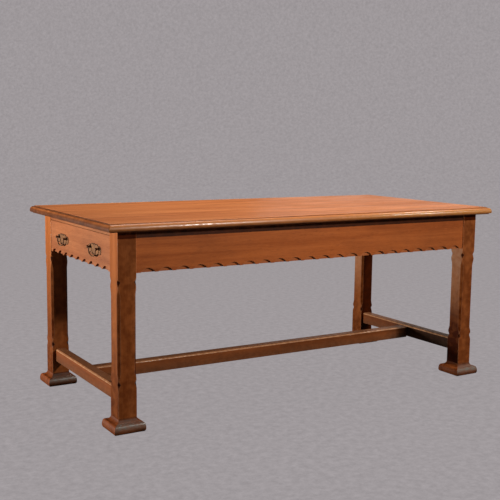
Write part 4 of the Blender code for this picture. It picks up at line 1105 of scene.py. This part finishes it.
flange_low, flange_high = FLANGE_SPAN
ball = ellipse_arc((0, POST_REACH), (POST_BALL, POST_BALL), -52, 88, 16)
post_profile = np.concatenate(
    [
        [
            (BOLT_RADIUS - 0.0004, -BOLT_END),
            (BOLT_RADIUS, -BOLT_END + 0.0004),
            (BOLT_RADIUS, flange_low),
            (POST_FLANGE - 0.0003, flange_low),
            (POST_FLANGE, flange_low + 0.0004),
            (POST_FLANGE - 0.0002, flange_low + 0.0010),
            (POST_FLANGE - 0.0012, flange_high - 0.0002),
            (POST_NECK + 0.0010, flange_high),
            (POST_NECK, flange_high + 0.0008),
            (POST_NECK - 0.0002, flange_high + 0.0016),
        ],
        ball,
    ]
)
around = full_turn(28)
post_grid = np.stack(
    [
        -np.broadcast_to(post_profile[:, 1:], (len(post_profile), len(around))),
        post_profile[:, :1] * np.cos(around),
        post_profile[:, :1] * np.sin(around),
    ],
    axis=-1,
)[:, ::-1]
bright_from, bright = [0, flange_high, 0.009, 0.013, 0.0175], [0, 0.2, 0.0, 0.1, 0.4]
post_bright = np.interp(post_profile[:, 1], bright_from, bright)
for row, side_y in (("front", -1), ("back", 1)):
    for which, hand in (("a", -1), ("b", 1)):
        y = side_y * HANDLE_Y + hand * POST_HALF_SPACING
        grid = post_grid + np.array([DRAWER_FRONT_X, y, HANDLE_Z + POST_RISE])
        post = skin(f"turned_post_{row}_{which}", grid, rubbed=post_bright[:, None])
        post.data.materials.append(handle_brass)
        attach(post, "drawer")
        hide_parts(f"handle_post_{row}_{which}")
        nut = eased_copy(f"handle_nut_{row}_{which}", f"hexagon_nut_{row}_{which}", ease=0.0003)
        nut.data.materials.append(steel)
        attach(nut, "drawer")
        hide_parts(f"handle_nut_{row}_{which}")


# Bails: each handle's hanging grip, a brass bow that thickens to the middle. Its two ends turn
# outwards as pins into the balls of the posts, so that it swings up.

BAIL_HALF_WIDTH = 0.0345
BAIL_DROP = 0.0300
BAIL_END_RADIUS = 0.0018
BAIL_MIDDLE_RADIUS = 0.0032
BAIL_BEND = 0.0035
BAIL_PIN = 0.0110
BAIL_SQUARENESS = 0.85
PIN_EASE = 0.0004
PIN_TIP = 0.6
WAIST_DEPTH = 0.16
WAIST_PLACE = 0.42
WAIST_SPREAD = 0.05

swing = np.linspace(0, math.pi, 61)[1:-1]
bow = np.stack(
    [
        np.sign(np.cos(swing)) * np.abs(np.cos(swing)) ** BAIL_SQUARENESS * BAIL_HALF_WIDTH,
        -BAIL_BEND - np.sin(swing) ** BAIL_SQUARENESS * (BAIL_DROP - BAIL_BEND),
    ],
    axis=-1,
)
elbow = ellipse_arc((BAIL_HALF_WIDTH + BAIL_BEND, -BAIL_BEND), (BAIL_BEND,) * 2, 90, 180, 8)
pin_end = BAIL_HALF_WIDTH + BAIL_PIN
pin = np.array([(pin_end, 0.0), (pin_end - PIN_EASE, 0.0)])
start = np.concatenate([pin, elbow])
path = np.concatenate([start, bow, (start * (-1, 1))[::-1]])
thick = np.full(len(start), BAIL_END_RADIUS)
thick[0] = BAIL_END_RADIUS * PIN_TIP
grip = BAIL_END_RADIUS + (BAIL_MIDDLE_RADIUS - BAIL_END_RADIUS) * np.sin(swing)
from_middle = np.abs(swing - math.pi / 2)
grip *= 1 - WAIST_DEPTH * np.exp(-(((from_middle - WAIST_PLACE) / WAIST_SPREAD) ** 2))
radius = np.concatenate([thick, grip, thick[::-1]])
forward = np.gradient(path, axis=0)
forward /= np.linalg.norm(forward, axis=1, keepdims=True)
side = np.stack([-forward[:, 1], forward[:, 0]], axis=-1)
around = full_turn(16)
out = (radius[:, None] * np.cos(around))[..., None]
up = (radius[:, None] * np.sin(around))[..., None]
bail_grid = np.concatenate([-up, path[:, None] + out * side[:, None]], axis=-1)
grip_bright = 0.15 + 0.85 * np.sin(swing) ** 2
bail_bright = np.concatenate([np.zeros(len(start)), grip_bright, np.zeros(len(start))])
for row, side_y in (("front", -1), ("back", 1)):
    hinge = np.array([DRAWER_FRONT_X - POST_REACH, side_y * HANDLE_Y, HANDLE_Z + POST_RISE])
    bail = skin(f"drop_bail_{row}", bail_grid + hinge, rubbed=bail_bright[:, None])
    bail.data.materials.append(handle_brass)
    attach(bail, f"bail_{row}")
    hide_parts(f"bail_{row}")


# Room: a grey paper sweep without a line between floor and wall, a soft window behind on the side
# of the drawer, a broad soft light overhead, a key light in front with two weaker ones to its
# right, and a low one behind that lays a sheen on the far end of the top.

PAPER_COLOUR = (0.358, 0.329, 0.340)
PAPER_BOUNCE = (0.14, 0.13, 0.13)
PAPER_CLOUDS = 0.34
PAPER_GLOW = 0.95
SWEEP_HALF_WIDTH = 9.0
CAMERA_PLACE = Vector((-2.0873, -3.3026, 1.0844))
CAMERA_TURN = math.radians(-31.26)
CAMERA_TILT = math.radians(-7.51)
CAMERA_ROLL = math.radians(0.736)
CAMERA_LENS = 64.76

sweep_bend = ellipse_arc((4.0, 3.0), (3.0, 3.0), -90, 0, 24)
sweep_profile = np.concatenate([[(-6.0, 0.0)], sweep_bend, [(7.0, 9.0)]])
away = Vector((-math.sin(CAMERA_TURN), math.cos(CAMERA_TURN), 0))
level = Vector((math.cos(CAMERA_TURN), math.sin(CAMERA_TURN), 0))
corners = [
    away * reach + level * side + Vector((0, 0, height))
    for reach, height in sweep_profile
    for side in (-SWEEP_HALF_WIDTH, SWEEP_HALF_WIDTH)
]
faces = [(i, i + 1, i + 3, i + 2) for i in range(0, len(corners) - 2, 2)]
sweep_mesh = bpy.data.meshes.new("paper_sweep")
sweep_mesh.from_pydata(corners, [], faces)
sweep_mesh.shade_smooth()
sweep = stand("paper_sweep", sweep_mesh)
paper, tree, finish, place = new_material("grey_paper")
cloud = noise_over(tree, place, 32.0, detail=4.0, roughness=0.8)
darker, lighter = (
    tuple(value * (1 + change) for value in PAPER_COLOUR)
    for change in (-PAPER_CLOUDS, PAPER_CLOUDS)
)
shade = mixed(tree, cloud, darker, lighter)
finish["Base Color"].default_value = (*PAPER_BOUNCE, 1)
finish["Roughness"].default_value = 0.9
seen = tree.nodes.new("ShaderNodeLightPath")
even = tree.nodes.new("ShaderNodeMath")
even.operation = "MULTIPLY"
even.inputs[1].default_value = PAPER_GLOW
glow = tree.nodes.new("ShaderNodeEmission")
blend = tree.nodes.new("ShaderNodeMixShader")
tree.links.new(shade, glow.inputs["Color"])
tree.links.new(seen.outputs["Is Camera Ray"], even.inputs[0])
tree.links.new(even.outputs[0], blend.inputs["Fac"])
tree.links.new(tree.nodes["Principled BSDF"].outputs[0], blend.inputs[1])
tree.links.new(glow.outputs[0], blend.inputs[2])
tree.links.new(blend.outputs[0], tree.nodes["Material Output"].inputs["Surface"])
sweep.data.materials.append(paper)

# of each light: its place, the point that it looks at, its width and height, watts and colour
for name, place, target, width, height, power, colour in (
    ("window", (-4.3, 2.0, 0.38), (-0.86, 0.0, 0.42), 1.0, 0.4, 195.0, (1.0, 0.95, 0.90)),
    ("overhead", (0.2, 0.2, 3.0), (-0.1, 0.0, 0.7), 1.6, 1.2, 73.0, (1.0, 0.97, 0.94)),
    ("key", (1.2, -3.5, 1.95), (0.0, -0.3, 0.60), 0.3, 0.3, 88.0, (1.0, 0.96, 0.92)),
    ("side", (3.2, -3.2, 1.95), (0.3, -0.4, 0.60), 0.25, 0.25, 14.0, (1.0, 0.97, 0.94)),
    ("glint", (2.5, -0.9, 2.95), (0.5, -0.43, 0.76), 0.35, 0.35, 20.0, (1.0, 0.96, 0.92)),
    ("rim", (3.6, 3.8, 1.35), (0.6, 0.0, 0.76), 2.2, 0.5, 4.0, (1.0, 0.97, 0.95)),
):
    lamp = bpy.data.lights.new(name, "AREA")
    lamp.shape = "RECTANGLE"
    lamp.size, lamp.size_y = width, height
    lamp.energy = power
    lamp.color = colour
    light = stand(name, lamp)
    light.location = place
    aim = Vector(target) - Vector(place)
    light.rotation_euler = aim.to_track_quat("-Z", "Y").to_euler()
    light.visible_camera = False

world = bpy.data.worlds.new("studio_air")
world.use_nodes = True
tree = world.node_tree
air = tree.nodes["Background"]
air.inputs["Color"].default_value = (0.80, 0.80, 0.82, 1)
air.inputs["Strength"].default_value = 0.07
wall = tree.nodes.new("ShaderNodeBackground")
wall.inputs["Color"].default_value = (*PAPER_COLOUR, 1)
wall.inputs["Strength"].default_value = PAPER_GLOW
seen = tree.nodes.new("ShaderNodeLightPath")
blend = tree.nodes.new("ShaderNodeMixShader")
tree.links.new(seen.outputs["Is Camera Ray"], blend.inputs["Fac"])
tree.links.new(air.outputs[0], blend.inputs[1])
tree.links.new(wall.outputs[0], blend.inputs[2])
tree.links.new(blend.outputs[0], tree.nodes["World Output"].inputs["Surface"])
bpy.context.scene.world = world
bpy.context.scene.view_settings.view_transform = "Standard"

sight = away * math.cos(CAMERA_TILT) + Vector((0, 0, math.sin(CAMERA_TILT)))
above = level.cross(sight)
right = level * math.cos(CAMERA_ROLL) + above * math.sin(CAMERA_ROLL)
over = above * math.cos(CAMERA_ROLL) - level * math.sin(CAMERA_ROLL)
camera_data = bpy.data.cameras.new("camera")
camera_data.lens = CAMERA_LENS
camera_data.sensor_fit = "HORIZONTAL"
camera_data.sensor_width = 36.0
camera_data.clip_end = 60.0
camera = stand("camera", camera_data)
axes = Matrix((right, over, -sight)).transposed().to_4x4()
camera.matrix_world = Matrix.Translation(CAMERA_PLACE) @ axes
bpy.context.scene.camera = camera
